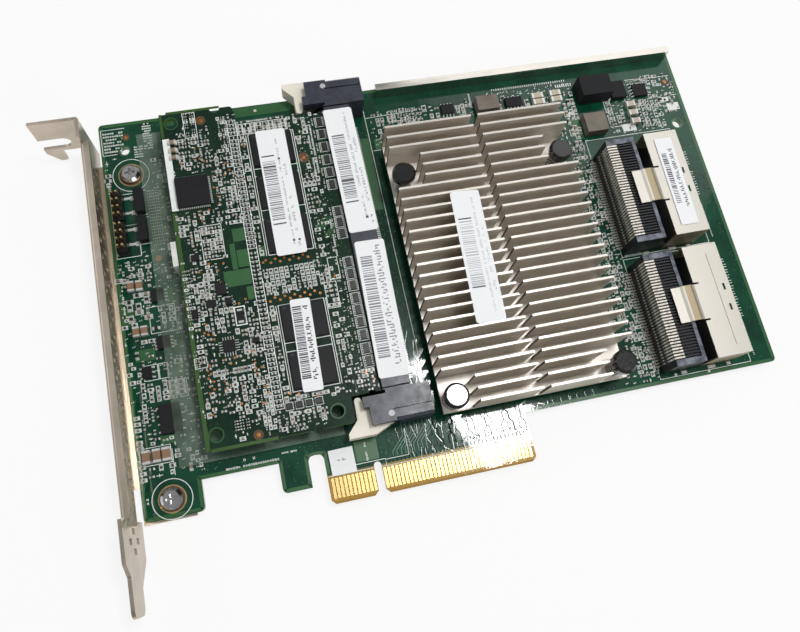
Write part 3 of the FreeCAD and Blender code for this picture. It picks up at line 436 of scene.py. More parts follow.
class Soup:
    """Gathers many small closed shapes into one mesh. Sizes are in millimetres, on one level."""

    def __init__(self, level):
        self.level = level
        self.paints = []
        self.points = []
        self.faces = []
        self.looks = []
        self.smooth = []
        self.centre = (0.0, 0.0)
        self.turn = 0.0

    def turned(self, x, y, degrees):
        """Later shapes are turned about this point."""
        self.centre, self.turn = (x, y), math.radians(degrees)
        return self

    def point(self, x, y, z):
        if self.turn:
            dx, dy = x - self.centre[0], y - self.centre[1]
            x = self.centre[0] + dx * math.cos(self.turn) - dy * math.sin(self.turn)
            y = self.centre[1] + dx * math.sin(self.turn) + dy * math.cos(self.turn)
        self.points.append(place(x, y, z + self.level))
        return len(self.points) - 1

    def face(self, corners, look, smooth=False):
        self.faces.append(tuple(corners))
        if look not in self.paints:
            self.paints.append(look)
        self.looks.append(self.paints.index(look))
        self.smooth.append(smooth)

    def stack(self, rings, look, smooth=False):
        """Closes a row of rings of points, each [(x, y, z), ...], into one solid."""
        rows = [[self.point(*spot) for spot in ring] for ring in rings]
        count = len(rows[0])
        self.face(reversed(rows[0]), look)
        for low, high in zip(rows, rows[1:]):
            for i in range(count):
                j = (i + 1) % count
                self.face((low[i], low[j], high[j], high[i]), look, smooth)
        self.face(rows[-1], look)

    def slab(self, x0, x1, y0, y1, z0, z1, look, chamfer=0.0):
        """A plate or block, with its upper edges cut back."""
        def ring(inset, z):
            return [(x0 + inset, y0 + inset, z), (x1 - inset, y0 + inset, z),
                    (x1 - inset, y1 - inset, z), (x0 + inset, y1 - inset, z)]
        rings = [ring(0, z0), ring(0, z1 - chamfer)]
        if chamfer:
            rings.append(ring(chamfer, z1))
        self.stack(rings, look)

    def brick(self, x, y, wide, long, z0, z1, look, chamfer=0.0):
        self.slab(x - wide / 2, x + wide / 2, y - long / 2, y + long / 2, z0, z1, look, chamfer)

    def round(self, x, y, profile, look, sides=12, smooth=True):
        """A turned solid: profile is [(radius, z), ...] from the bottom up."""
        rings = [[(x + r * math.cos(a), y + r * math.sin(a), z)
                  for a in (2 * math.pi * i / sides for i in range(sides))] for r, z in profile]
        self.stack(rings, look, smooth)

    def washer(self, x, y, inner, outer, z0, z1, look, sides=24):
        """A flat ring."""
        rows = []
        for r, z in ((outer, z0), (outer, z1), (inner, z1), (inner, z0)):
            rows.append([self.point(x + r * math.cos(a), y + r * math.sin(a), z)
                         for a in (2 * math.pi * i / sides for i in range(sides))])
        for low, high in zip(rows, rows[1:] + rows[:1]):
            for i in range(sides):
                j = (i + 1) % sides
                self.face((low[i], low[j], high[j], high[i]), look)

    def outline(self, x0, x1, y0, y1, line, look):
        """A printed rectangle: four strips."""
        for box in ((x0, x1, y0, y0 + line), (x0, x1, y1 - line, y1),
                    (x0, x0 + line, y0 + line, y1 - line), (x1 - line, x1, y0 + line, y1 - line)):
            self.slab(*box, 0, INK_HIGH, look)

    def run(self, spots, wide, look, high=0.03):
        """A flat printed or etched line through [(x, y), ...]."""
        sides = []
        for i, spot in enumerate(spots):
            before, after = spots[max(i - 1, 0)], spots[min(i + 1, len(spots) - 1)]
            dx, dy = after[0] - before[0], after[1] - before[1]
            size = math.hypot(dx, dy) or 1.0
            sides.append((-dy / size * wide / 2, dx / size * wide / 2))
        rings = [[(x - sx, y - sy, 0.0), (x + sx, y + sy, 0.0),
                  (x + sx, y + sy, high), (x - sx, y - sy, high)]
                 for (x, y), (sx, sy) in zip(spots, sides)]
        self.stack(rings, look)

    def made(self, name, slot):
        mesh = bpy.data.meshes.new(name)
        mesh.from_pydata(self.points, [], self.faces)
        for look in self.paints:
            mesh.materials.append(look)
        mesh.polygons.foreach_set("material_index", self.looks)
        mesh.polygons.foreach_set("use_smooth", self.smooth)
        mesh.update()
        piece = bpy.data.objects.new(name, mesh)
        bpy.context.collection.objects.link(piece)
        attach(piece, "card")
        return piece


TIN = PAINTS["tin"]
GOLD = PAINTS["gold"]
PRINT = plastic_paint("white_print", srgb(240, 244, 240), 0.55, 0.3, 0.92)
COPPER = metal_paint("bare_copper", srgb(206, 140, 84), 0.3)
PLATED = metal_paint("worn_plating", srgb(190, 166, 124), 0.34)
TAN = plastic_paint("tan_ceramic", srgb(146, 128, 108), 0.3, 0.4, 0.85)
GREY = plastic_paint("grey_ceramic", srgb(120, 116, 108), 0.35, 0.4, 0.8)
DARK = plastic_paint("resistor_black", srgb(30, 31, 34), 0.35, 0.2)
BROWN = plastic_paint("bare_laminate", srgb(92, 62, 30), 0.5, 0.5)
LIT_MASK = plastic_paint("bright_mask", srgb(36, 92, 44), 0.3, 0.8, 0.9, Coat_Weight=0.5)
PALE_MASK = plastic_paint("pale_mask", srgb(38, 112, 84), 0.3, 0.8, 0.9, Coat_Weight=1.0)
OLIVE_MASK = plastic_paint("olive_mask", srgb(52, 88, 30), 0.3, 0.8, 0.85)
GROOVE = plastic_paint("mask_groove", srgb(6, 42, 30), 0.6, 0.8, 0.9, Specular_IOR_Level=0.1)


def chip(soup, x, y, size, along, look):
    """A two-ended surface-mount part: pads, solder, tinned ends and a body."""
    long, wide, high = size
    def block(low, high_end, half, z0, z1, paint, chamfer=0.0):
        if along == "x":
            soup.slab(x + low, x + high_end, y - half, y + half, z0, z1, paint, chamfer)
        else:
            soup.slab(x - half, x + half, y + low, y + high_end, z0, z1, paint, chamfer)
    end = long * 0.24
    half = wide / 2
    cut = high * 0.16
    for side in (-1, 1):
        outer = side * long / 2
        pad = sorted((outer + side * long * 0.16, outer - side * end * 0.9))
        block(*pad, half * 1.12, 0.0, 0.05 + high * 0.22, TIN, high * 0.18)
        cap = sorted((outer, outer - side * end))
        block(*cap, half, 0.04, 0.04 + high, TIN, cut)
    block(-long / 2 + end, long / 2 - end, half * 0.94, 0.05, high, look, cut * 0.6)


def solids_of(name):
    """The box of each loose solid of a CAD node: x0, x1, y0, y1 and its top, in millimetres."""
    mesh = frame["nodes"][name].data
    root = {}

    def top_of(key):
        while root[key] != key:
            key = root[key]
        return key

    for polygon in mesh.polygons:
        keys = [tuple(round(part / MM, 3) for part in mesh.vertices[i].co)
                for i in polygon.vertices]
        for key in keys:
            root.setdefault(key, key)
        for key in keys[1:]:
            root[top_of(key)] = top_of(keys[0])
    groups = {}
    for key in root:
        groups.setdefault(top_of(key), []).append(key)
    boxes = []
    for spots in groups.values():
        xs, ys, zs = zip(*spots)
        boxes.append((min(xs) + KEY_X, max(xs) + KEY_X, min(ys), max(ys), max(zs)))
    return sorted(boxes)


class Taken:
    """Remembers which places of one face are in use, in cells of a quarter of a millimetre."""

    CELL = 0.25

    def __init__(self):
        self.cells = set()

    def spread(self, x0, x1, y0, y1):
        for i in range(math.floor(x0 / self.CELL), math.ceil(x1 / self.CELL)):
            for j in range(math.floor(y0 / self.CELL), math.ceil(y1 / self.CELL)):
                yield i, j

    def claim(self, x0, x1, y0, y1):
        self.cells.update(self.spread(x0, x1, y0, y1))

    def free(self, x0, x1, y0, y1):
        return not any(cell in self.cells for cell in self.spread(x0, x1, y0, y1))

    def claim_node(self, name, margin=0.3):
        low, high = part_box(name)
        self.claim(low.x / MM + KEY_X - margin, high.x / MM + KEY_X + margin,
                   low.y / MM - margin, high.y / MM + margin)


SIZES_MM = {"speck": (0.6, 0.3, 0.3), "tiny": (1.0, 0.5, 0.42), "small": (1.6, 0.8, 0.6),
            "mid": (2.0, 1.25, 0.9), "large": (3.2, 1.6, 1.3)}


def field(parts, prints, taken, area, step, size, along, seed, fill=0.9, boxed=0.6, dark=0.6):
    """Fills an area (x0, x1, y0, y1) with rows of small parts, some with a printed box."""
    draw = random.Random(seed)
    x0, x1, y0, y1 = area
    columns = max(1, round((x1 - x0) / step[0]))
    rows = max(1, round((y1 - y0) / step[1]))
    long, wide, high = SIZES_MM[size]
    for i in range(columns):
        for j in range(rows):
            x = x0 + (i + 0.5) * (x1 - x0) / columns
            y = y0 + (j + 0.5) * (y1 - y0) / rows
            kind = draw.random()
            shade = draw.random()
            framed = draw.random()
            if kind > fill:
                continue
            look = DARK if shade < dark else (TAN if shade < dark + (1 - dark) * 0.6 else GREY)
            lean = along if along != "both" else ("x" if draw.random() < 0.5 else "y")
            half_x, half_y = (long, wide) if lean == "x" else (wide, long)
            spot = (x - half_x / 2, x + half_x / 2, y - half_y / 2, y + half_y / 2)
            if not taken.free(*spot):
                continue
            taken.claim(*spot)
            chip(parts, x, y, (long, wide, high), lean, look)
            if framed < boxed:
                prints.outline(x - half_x * 0.5 - 0.26, x + half_x * 0.5 + 0.26,
                               y - half_y * 0.5 - 0.22, y + half_y * 0.5 + 0.22, 0.16, PRINT)


def crowd(parts, prints, dots, taken, area, tries, seed, sizes=("tiny", "tiny", "speck"),
          dark=0.6, boxed=0.5, others=0.35):
    """Fills what is left of an area with small parts, print and covered vias, in a loose grid."""
    draw = random.Random(seed)
    x0, x1, y0, y1 = area
    grid = 0.3
    for _ in range(tries):
        x = x0 + round(draw.uniform(0, x1 - x0) / grid) * grid
        y = y0 + round(draw.uniform(0, y1 - y0) / grid) * grid
        long, wide, high = SIZES_MM[draw.choice(sizes)]
        lean = "x" if draw.random() < 0.6 else "y"
        kind, shade, framed = draw.random(), draw.random(), draw.random()
        half_x, half_y = (long / 2, wide / 2) if lean == "x" else (wide / 2, long / 2)
        gap = 0.28 if framed < boxed else 0.14
        spot = (x - half_x - gap, x + half_x + gap, y - half_y - gap, y + half_y + gap)
        if not taken.free(*spot):
            continue
        taken.claim(*spot)
        if kind < others * 0.45:
            prints.slab(x - half_x, x + half_x, y - 0.08, y + 0.08, 0, INK_HIGH, PRINT)
            prints.slab(x - 0.08, x + 0.08, y - half_y, y + half_y, 0, 0.031, PRINT)
        elif kind < others:
            pads(dots, [(x - 0.2, y), (x + 0.25, y + 0.1)], 0.16, TIN, 0.03, 8)
        else:
            look = DARK if shade < dark else (TAN if shade < dark + (1 - dark) * 0.6 else GREY)
            chip(parts, x, y, (long, wide, high), lean, look)
            if framed < boxed:
                prints.outline(spot[0] + 0.03, spot[1] - 0.03, spot[2] + 0.03, spot[3] - 0.03,
                               0.16, PRINT)


def ladder(prints, x0, x1, y0, y1, pitch, line=0.18):
    """A printed ladder: two rails and a rung at every pitch."""
    prints.slab(x0, x0 + line, y0, y1, 0, INK_HIGH, PRINT)
    prints.slab(x1 - line, x1, y0, y1, 0, INK_HIGH, PRINT)
    for i in range(int((y1 - y0) / pitch) + 1):
        y = y0 + i * pitch
        prints.slab(x0 + line, x1 - line, y, y + line * 0.8, 0, INK_HIGH, PRINT)


def marks(prints, area, seed, along="y", line=0.13, size=0.55, fill=0.75):
    """Print too small to read: short strokes in rows."""
    draw = random.Random(seed)
    x0, x1, y0, y1 = area
    across = (x1 - x0) if along == "y" else (y1 - y0)
    length = (y1 - y0) if along == "y" else (x1 - x0)
    for row in range(max(1, int(across / (size * 1.5)))):
        at = (row + 0.5) * size * 1.5
        run = 0.0
        while run < length - size:
            kind = draw.random()
            if kind < fill:
                for stroke in range(2):
                    shift = run + stroke * size * 0.42
                    tall = size * (0.55 + 0.45 * draw.random())
                    if along == "y":
                        prints.slab(x0 + at - tall / 2, x0 + at + tall / 2, y0 + shift,
                                    y0 + shift + line, 0, INK_HIGH, PRINT)
                    else:
                        prints.slab(x0 + shift, x0 + shift + line, y0 + at - tall / 2,
                                    y0 + at + tall / 2, 0, INK_HIGH, PRINT)
            run += size * 0.95


def pads(dots, spots, radius=0.34, look=None, high=0.05, sides=12):
    """Round test pads or covered vias."""
    for x, y in spots:
        dots.round(x, y, ((radius, 0.0), (radius, high * 0.6), (radius * 0.8, high)),
                   look or COPPER, sides)


def scatter(dots, area, count, seed, radius, look):
    """Covered vias at chance places."""
    draw = random.Random(seed)
    x0, x1, y0, y1 = area
    pads(dots, [(draw.uniform(x0, x1), draw.uniform(y0, y1)) for _ in range(count)],
         radius, look, 0.03, 8)


# ---------------------------------------------------------------- cache module

parts = Soup(MODULE)
prints = Soup(MODULE)
dots = Soup(MODULE)

module_taken = Taken()
for name in ("module_controller", "module_post"):
    module_taken.claim_node(name, 0.8)
for x0, x1, y0, y1 in (
        (38.4, 51.4, 62.8, 98.2), (38.4, 51.4, 27.2, 50.2),  # memory chips and their print
        (56.4, 60.4, 30.0, 101.0), (17.0, 22.5, 101.0, 108.0), (17.0, 23.6, 17.0, 24.8),
        (46.6, 52.8, 17.0, 24.6), (26.2, 29.4, 102.4, 106.0), (28.0, 31.0, 17.0, 20.6),
        (29.4, 34.2, 52.4, 72.4), (26.8, 30.2, 56.8, 61.4), (51.0, 54.3, 87.4, 90.8),
        (28.4, 31.4, 46.2, 51.4), (24.0, 28.4, 39.6, 43.8), (17.2, 20.8, 78.8, 100.2),
        (36.6, 50.4, 60.4, 63.0), (36.8, 50.8, 50.4, 52.2), (36.6, 46.0, 23.2, 25.5),
        (29.6, 31.6, 96.0, 107.0)):
    module_taken.claim(x0, x1, y0, y1)

# areas of small parts: corner coordinates, steps, size, direction, fill, boxed and dark shares
MODULE_FIELDS = (
    ((34.4, 36.6, 24.2, 45.0), (2.2, 1.16), "tiny", "x", 1.0, 0.0, 0.8),
    ((34.4, 36.6, 45.2, 65.0), (2.2, 1.16), "tiny", "x", 1.0, 0.0, 0.8),
    ((34.4, 36.6, 65.8, 103.0), (2.2, 1.16), "tiny", "x", 0.95, 0.0, 0.8),
    ((23.1, 26.3, 99.6, 107.0), (1.55, 0.82), "speck", "x", 0.9, 0.2, 0.7),
    ((31.7, 34.3, 95.0, 104.6), (0.9, 1.15), "speck", "y", 0.9, 0.2, 0.4),
    ((21.0, 29.2, 96.4, 99.4), (1.5, 0.95), "tiny", "x", 0.8, 0.4, 0.6),
    ((20.7, 29.0, 90.2, 95.8), (1.6, 1.05), "tiny", "both", 0.7, 0.4, 0.6),
    ((29.4, 34.2, 84.5, 95.0), (1.6, 1.2), "tiny", "both", 0.65, 0.4, 0.6),
    ((30.8, 34.0, 73.2, 84.0), (1.6, 1.1), "tiny", "x", 0.85, 0.5, 0.6),
    ((18.0, 20.0, 66.0, 77.4), (2.0, 1.15), "tiny", "x", 0.95, 0.8, 0.7),
    ((20.4, 23.0, 68.6, 77.4), (1.3, 1.4), "tiny", "y", 0.6, 0.5, 0.5),
    ((23.5, 28.5, 64.8, 73.6), (1.65, 1.1), "tiny", "x", 0.8, 0.5, 0.6),
    ((17.5, 19.4, 49.4, 64.0), (0.9, 1.0), "speck", "x", 0.95, 0.3, 0.5),
    ((19.6, 25.0, 51.8, 61.0), (1.5, 1.05), "tiny", "both", 0.85, 0.5, 0.6),
    ((21.0, 28.6, 45.4, 51.4), (1.3, 1.15), "tiny", "y", 0.8, 0.4, 0.5),
    ((25.2, 29.2, 52.0, 54.4), (1.3, 1.1), "tiny", "x", 0.8, 0.3, 0.7),
    ((18.4, 20.2, 38.0, 49.0), (1.8, 1.3), "tiny", "x", 0.7, 0.6, 0.6),
    ((17.5, 20.2, 37.6, 40.0), (0.7, 1.0), "speck", "y", 1.0, 0.2, 0.4),
    ((29.4, 34.0, 37.8, 47.6), (1.5, 1.1), "tiny", "both", 0.75, 0.4, 0.5),
    ((21.4, 25.2, 34.4, 36.4), (0.9, 1.9), "tiny", "y", 1.0, 0.9, 0.3),
    ((26.2, 30.3, 34.4, 36.4), (0.9, 1.9), "tiny", "y", 1.0, 0.9, 0.2),
    ((21.4, 30.8, 25.4, 33.8), (1.75, 1.25), "tiny", "both", 0.85, 0.6, 0.65),
    ((31.2, 34.2, 19.6, 33.0), (1.0, 1.15), "speck", "y", 0.95, 0.6, 0.4),
    ((18.4, 21.2, 25.2, 31.0), (1.4, 1.2), "tiny", "y", 0.8, 0.5, 0.6),
    ((24.6, 28.0, 20.8, 23.6), (0.75, 0.8), "speck", "x", 0.85, 0.0, 0.3),
    ((36.8, 38.6, 66.0, 98.4), (1.7, 1.25), "tiny", "both", 0.72, 0.5, 0.5),
    ((36.8, 38.6, 27.0, 60.0), (1.7, 1.25), "tiny", "both", 0.7, 0.5, 0.5),
    ((36.8, 49.8, 98.3, 101.2), (1.65, 1.0), "tiny", "x", 0.9, 0.6, 0.6),
    ((38.4, 50.0, 53.0, 59.8), (1.25, 1.75), "tiny", "y", 0.92, 0.85, 0.6),
    ((50.4, 53.6, 53.4, 64.0), (1.6, 1.2), "tiny", "both", 0.7, 0.5, 0.5),
    ((39.4, 41.2, 73.1, 75.8), (2.0, 0.9), "tiny", "x", 1.0, 0.0, 0.4),
    ((39.4, 41.2, 85.4, 87.8), (2.0, 0.9), "tiny", "x", 1.0, 0.0, 0.4),
    ((48.9, 50.6, 73.1, 75.8), (2.0, 0.9), "tiny", "x", 1.0, 0.0, 0.4),
    ((48.9, 50.6, 85.4, 87.8), (2.0, 0.9), "tiny", "x", 1.0, 0.0, 0.4),
    ((39.0, 50.8, 37.4, 39.9), (1.3, 1.1), "tiny", "y", 0.9, 0.2, 0.5),
    ((35.4, 51.8, 25.6, 27.6), (1.4, 1.0), "tiny", "both", 0.8, 0.5, 0.5),
    ((36.0, 46.6, 20.4, 23.0), (1.4, 1.1), "tiny", "both", 0.75, 0.4, 0.3),
    ((51.2, 55.4, 92.0, 101.0), (1.7, 1.3), "tiny", "both", 0.45, 0.6, 0.3),
    ((51.2, 57.0, 80.6, 83.0), (1.2, 1.2), "tiny", "y", 0.9, 0.6, 0.4),
    ((51.2, 55.2, 72.8, 78.6), (1.6, 1.2), "tiny", "x", 0.6, 0.5, 0.4),
    ((51.6, 54.4, 46.8, 53.0), (1.4, 1.15), "tiny", "x", 0.9, 0.6, 0.5),
    ((51.6, 55.0, 31.4, 38.2), (1.15, 0.9), "speck", "y", 0.95, 0.3, 0.2),
    ((51.8, 55.0, 38.6, 44.0), (1.5, 1.3), "tiny", "both", 0.6, 0.5, 0.5),
    ((54.6, 59.6, 25.2, 30.0), (1.5, 1.3), "tiny", "both", 0.8, 0.4, 0.4),
)
for seed, (area, step, size, along, *shares) in enumerate(MODULE_FIELDS, 1):
    field(parts, prints, module_taken, area, step, size, along, seed, *shares)

# memory packages with chamfered moulds and a moulded spot, in place of the plain ones
low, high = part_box("memory_chips")
TOP = high.z / MM - MODULE
packages = Soup(MODULE)
for y in (32.55, 44.7, 68.2, 80.5, 92.8):
    packages.brick(44.95, y, 10.7, 9.3, 0.22, TOP, PAINTS["package"], 0.12)
    packages.round(40.6, y + 3.8, ((0.35, TOP - 0.05), (0.35, TOP + 0.01)), DARK, 16)
    for i in range(9):
        for j in range(7):
            packages.round(40.95 + i, y - 3.0 + j, ((0.2, 0.0), (0.25, 0.12), (0.2, 0.23)), TIN, 6)
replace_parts(packages.made("memory_packages", slot="package"), "memory_chips")
for y0, y1 in ((27.9, 37.2), (40.1, 49.3), (63.6, 72.8), (76.0, 85.2), (88.0, 97.6)):
    prints.slab(39.3, 50.6, y0 - 0.45, y0 - 0.25, 0, INK_HIGH, PRINT)
    prints.slab(39.3, 50.6, y1 + 0.25, y1 + 0.45, 0, INK_HIGH, PRINT)

for area, tries, seed, dark, boxed, others in (
        ((17.8, 36.4, 18.6, 52.0), 2600, 70, 0.6, 0.5, 0.3),
        ((17.8, 36.4, 52.0, 77.6), 2000, 71, 0.6, 0.5, 0.3),
        ((20.8, 36.4, 77.6, 104.6), 2400, 72, 0.6, 0.5, 0.3),
        ((36.4, 51.0, 18.6, 62.0), 1800, 73, 0.6, 0.5, 0.3),
        ((36.4, 60.0, 24.6, 101.6), 2600, 74, 0.5, 0.5, 0.55)):
    crowd(parts, prints, dots, module_taken, area, tries, seed, dark=dark, boxed=boxed,
          others=others)
ladder(prints, 34.25, 36.65, 24.0, 103.0, 1.16)
for x in (38.6, 39.15, 50.6, 51.1):
    for low, high in ((63.2, 97.9), (27.4, 49.7)):
        prints.slab(x, x + 0.18, low, high, 0, INK_HIGH, PRINT)
for x0, x1, y0, y1 in ((23.1, 26.4, 99.4, 107.0), (23.2, 28.7, 64.5, 74.0),
                       (53.4, 56.0, 54.0, 60.0),
                       (17.4, 20.4, 37.4, 40.1), (36.6, 50.0, 98.2, 101.5),
                       (51.4, 54.6, 46.6, 53.6)):
    prints.outline(x0, x1, y0, y1, 0.16, PRINT)

# resistor packs beside the socket, each in its printed box
for y in (98.9, 95.2, 91.3, 87.5, 83.8, 80.1, 72.3, 69.2, 66.0, 58.0, 54.8, 51.6, 48.2, 45.0,
          41.8, 38.4, 34.9, 31.6):
    parts.brick(58.6, y, 1.5, 2.3, 0.05, 0.5, DARK, 0.08)
    for row in range(4):
        for side in (-1, 1):
            parts.brick(58.6 + side * 0.85, y - 0.9 + row * 0.6, 0.4, 0.34, 0.0, 0.4, TIN, 0.1)
    prints.outline(57.3, 59.9, y - 1.45, y + 1.45, 0.13, PRINT)
    chip(parts, 56.7, y + 0.9, SIZES_MM["speck"], "y", TAN)
    chip(parts, 56.7, y - 0.4, SIZES_MM["speck"], "y", GREY)

# larger packages: body and tinned leads round it
def quad_pack(soup, x, y, side, high, leads, reach, look, wide=0.26):
    soup.brick(x, y, side, side, 0.06, high, look, 0.12)
    step = side * 0.88 / (leads - 1)
    for i in range(leads):
        at = -side * 0.44 + i * step
        for sign in (-1, 1):
            soup.brick(x + sign * (side / 2 + reach / 2 - 0.05), y + at, reach + 0.1, wide, 0.0,
                       0.2, TIN, 0.06)
            soup.brick(x + at, y + sign * (side / 2 + reach / 2 - 0.05), wide, reach + 0.1, 0.0,
                       0.2, TIN, 0.06)


quad_pack(parts, 23.1, 83.8, 8.3, 0.84, 16, 0.5, PAINTS["package"])
quad_pack(parts, 26.1, 41.6, 2.9, 0.8, 5, 1.0, PAINTS["package"], 0.2)
for x, y, wide, long in ((26.2, 56.4, 2.6, 3.2), (21.2, 65.6, 2.0, 1.6), (27.6, 52.9, 1.6, 1.8),
                         (23.4, 52.9, 2.4, 1.9), (19.2, 51.0, 1.5, 2.2), (32.6, 41.9, 1.8, 1.3)):
    parts.brick(x, y, wide, long, 0.05, 0.85, PAINTS["package"], 0.1)
    for side in (-1, 1):
        for row in range(3):
            parts.brick(x + side * (wide / 2 + 0.15), y + (row - 1) * long * 0.32, 0.45, 0.25, 0.0,
                        0.25, TIN, 0.08)
prints.outline(28.5, 31.3, 46.3, 51.3, 0.3, PRINT)
parts.brick(29.9, 48.8, 1.7, 3.3, 0.05, 0.7, PAINTS["package"], 0.1)
parts.brick(29.9, 50.1, 1.3, 0.5, 0.05, 0.8, TIN, 0.1)
parts.brick(29.9, 47.1, 1.3, 0.5, 0.05, 0.8, TIN, 0.1)
prints.slab(17.25, 19.0, 79.2, 100.0, 0, INK_HIGH, PRINT)
for y in (98.6, 96.3, 94.2):
    chip(parts, 19.6, y, (2.0, 1.2, 0.8), "x", TAN)
for i in range(12):
    prints.slab(18.9, 19.3, 90.0 - i * 0.9, 90.3 - i * 0.9, 0, INK_HIGH, PRINT)
for x in (36.8, 39.2, 41.6, 44.0):
    parts.brick(x + 0.9, 24.3, 1.5, 1.4, 0.05, 0.6, DARK, 0.1)
    prints.outline(x, x + 2.0, 23.3, 25.3, 0.13, PRINT)
    for side in (-1, 1):
        for row in (-1, 0, 1):
            parts.brick(x + 1.0 + side * 0.85, 24.3 + row * 0.45, 0.3, 0.22, 0.0, 0.3, TIN, 0.05)

# bare laminate round the aiming dots, gold pads and rings
for x, y, size in ((27.7, 104.2, 1.3), (52.6, 89.1, 1.5), (29.6, 19.1, 1.2)):
    dots.round(x, y, ((size, 0.0), (size, 0.02)), BROWN, 24)
    pads(dots, [(x, y)], 0.52, COPPER, 0.06, 16)
GOLD_PADS = (
    (24.6, 93.2), (26.0, 93.0), (26.9, 92.2), (25.1, 96.2), (21.0, 92.4), (30.4, 90.4),
    (32.2, 90.8), (28.6, 87.5), (28.8, 86.1), (28.4, 84.3), (29.1, 81.6), (30.6, 82.7),
    (29.2, 79.6), (31.6, 87.4), (33.0, 88.6), (24.2, 78.2), (26.3, 78.2), (24.2, 76.9),
    (24.3, 75.4), (25.9, 71.9), (21.2, 69.0), (24.2, 63.6), (27.8, 63.2), (21.6, 61.8),
    (26.2, 61.5), (26.4, 58.2), (31.7, 52.9), (30.0, 52.0), (21.4, 48.0), (21.6, 46.7),
    (21.6, 45.4), (22.8, 45.3), (21.6, 44.0), (22.8, 44.0), (20.7, 46.0), (32.4, 42.4),
    (31.0, 39.4), (21.8, 38.6), (20.8, 37.7), (24.2, 38.5), (26.9, 38.6), (28.4, 38.6),
    (25.8, 37.3), (20.2, 36.6), (20.9, 35.7), (20.1, 34.6), (21.2, 33.7), (20.2, 32.6),
    (21.1, 31.8), (20.0, 31.0), (23.8, 33.3), (24.7, 32.3), (23.8, 31.3), (27.8, 31.3),
    (27.7, 30.6), (31.5, 36.4), (31.5, 35.0), (32.9, 35.1), (31.5, 33.8), (33.2, 30.2),
    (33.4, 28.6), (32.1, 26.3), (20.4, 27.2), (19.8, 25.8), (26.9, 27.2), (37.4, 96.3),
    (37.8, 94.8), (37.6, 57.6), (39.0, 55.2), (37.5, 61.6), (54.6, 54.9), (52.7, 53.8),
    (57.4, 29.0), (59.0, 27.0), (44.8, 25.7), (38.5, 27.3), (40.5, 26.9),
)
pads(dots, GOLD_PADS, 0.33)
pads(dots, [(38.2 + 1.18 * i, 62.1 - 0.9 * (i % 2)) for i in range(10)], 0.36)
pads(dots, [(37.6 + 1.25 * i, 51.1 + 0.8 * (i % 2)) for i in range(11)], 0.36)
for x, y in ((20.0, 104.4), (20.0, 21.0), (48.9, 21.0)):
    dots.washer(x, y, 1.62, 1.86, 0.0, 0.03, LIT_MASK, 32)

# routed copper shows as paler lines, and covered vias as pale specks
for i in range(9):
    x, y = 50.9 + i * 0.42, 67.2 + i * 0.12
    prints.run([(x, y), (x + 2.3, y + 2.6), (x + 2.3, y + 3.4)], 0.16, LIT_MASK, 0.02)
for i in range(6):
    prints.run([(53.6 + i * 0.5, 65.6), (56.4 + i * 0.3, 68.6 + i * 0.2)], 0.14, LIT_MASK, 0.02)
for x0, x1, y0, y1 in ((31.1, 34.2, 68.4, 71.9), (31.4, 34.4, 61.4, 66.0), (29.9, 31.2, 61.0, 68.0),
                       (27.4, 34.0, 56.6, 60.8), (36.9, 38.4, 63.2, 66.0),
                       (32.4, 34.2, 52.6, 56.0)):
    prints.slab(x0, x1, y0, y1, 0, 0.02, LIT_MASK)
scatter(dots, (51.0, 59.6, 30.0, 101.0), 420, 50, 0.14, LIT_MASK)
scatter(dots, (51.0, 57.0, 30.0, 101.0), 130, 51, 0.12, TIN)
scatter(dots, (18.0, 34.0, 20.0, 100.0), 260, 52, 0.13, LIT_MASK)
for area, seed, along in (((36.0, 41.0, 18.2, 20.2), 60, "y"), ((44.6, 46.4, 19.4, 22.8), 61, "y"),
                          ((20.9, 23.0, 99.8, 102.0), 62, "x"), ((17.5, 18.8, 64.4, 66.0), 63, "x"),
                          ((36.9, 49.6, 101.6, 102.2), 64, "x"),
                          ((29.0, 33.8, 47.0, 51.0), 65, "y"),
                          ((55.8, 57.0, 60.0, 72.0), 66, "y"),
                          ((54.6, 57.0, 84.0, 100.0), 67, "y")):
    marks(prints, area, seed, along)

for x0, x1, y0, y1 in ((17.15, 18.2, 17.6, 78.6), (17.15, 17.9, 100.4, 107.4),
                       (18.4, 34.0, 17.1, 17.9), (19.0, 33.0, 107.2, 107.9)):
    prints.slab(x0, x1, y0, y1, 0, 0.02, OLIVE_MASK)
parts.made("module_parts", slot="package")
prints.made("module_print", slot="label")
dots.made("module_pads", slot="gold")

# ---------------------------------------------------------------- main board

parts = Soup(BOARD)
prints = Soup(BOARD)
dots = Soup(BOARD)
board_taken = Taken()
for name in ("logic_chips", "capacitors", "small_chokes", "headers", "power_choke"):
    node = frame["nodes"][name]
    # each face of the node keeps its own place clear
    for polygon in node.data.polygons:
        spots = [node.data.vertices[i].co for i in polygon.vertices]
        xs, ys = [s.x / MM + KEY_X for s in spots], [s.y / MM for s in spots]
        board_taken.claim(min(xs) - 0.2, max(xs) + 0.2, min(ys) - 0.2, max(ys) + 0.2)
for name in ("lower_port_housing", "upper_port_housing", "lower_port_cage", "upper_port_cage",
             "module_socket", "stiffener_bar", "board_label"):
    board_taken.claim_node(name, 0.3)
for x0, x1, y0, y1 in (
        (2.2, 11.9, 90.1, 99.8), (2.2, 11.9, 4.3, 14.1), (0.0, 8.2, 101.0, 111.0),
        (0.0, 7.2, 71.4, 90.4), (7.0, 10.0, 74.0, 90.4), (75.0, 123.0, 16.5, 90.0),
        (74.0, 80.6, 14.0, 22.0), (117.4, 124.0, 15.0, 22.0), (8.5, 14.2, 99.6, 110.6),
        (160.8, 168.0, 83.0, 90.0), (10.0, 12.4, 69.0, 71.4)):
    board_taken.claim(x0, x1, y0, y1)

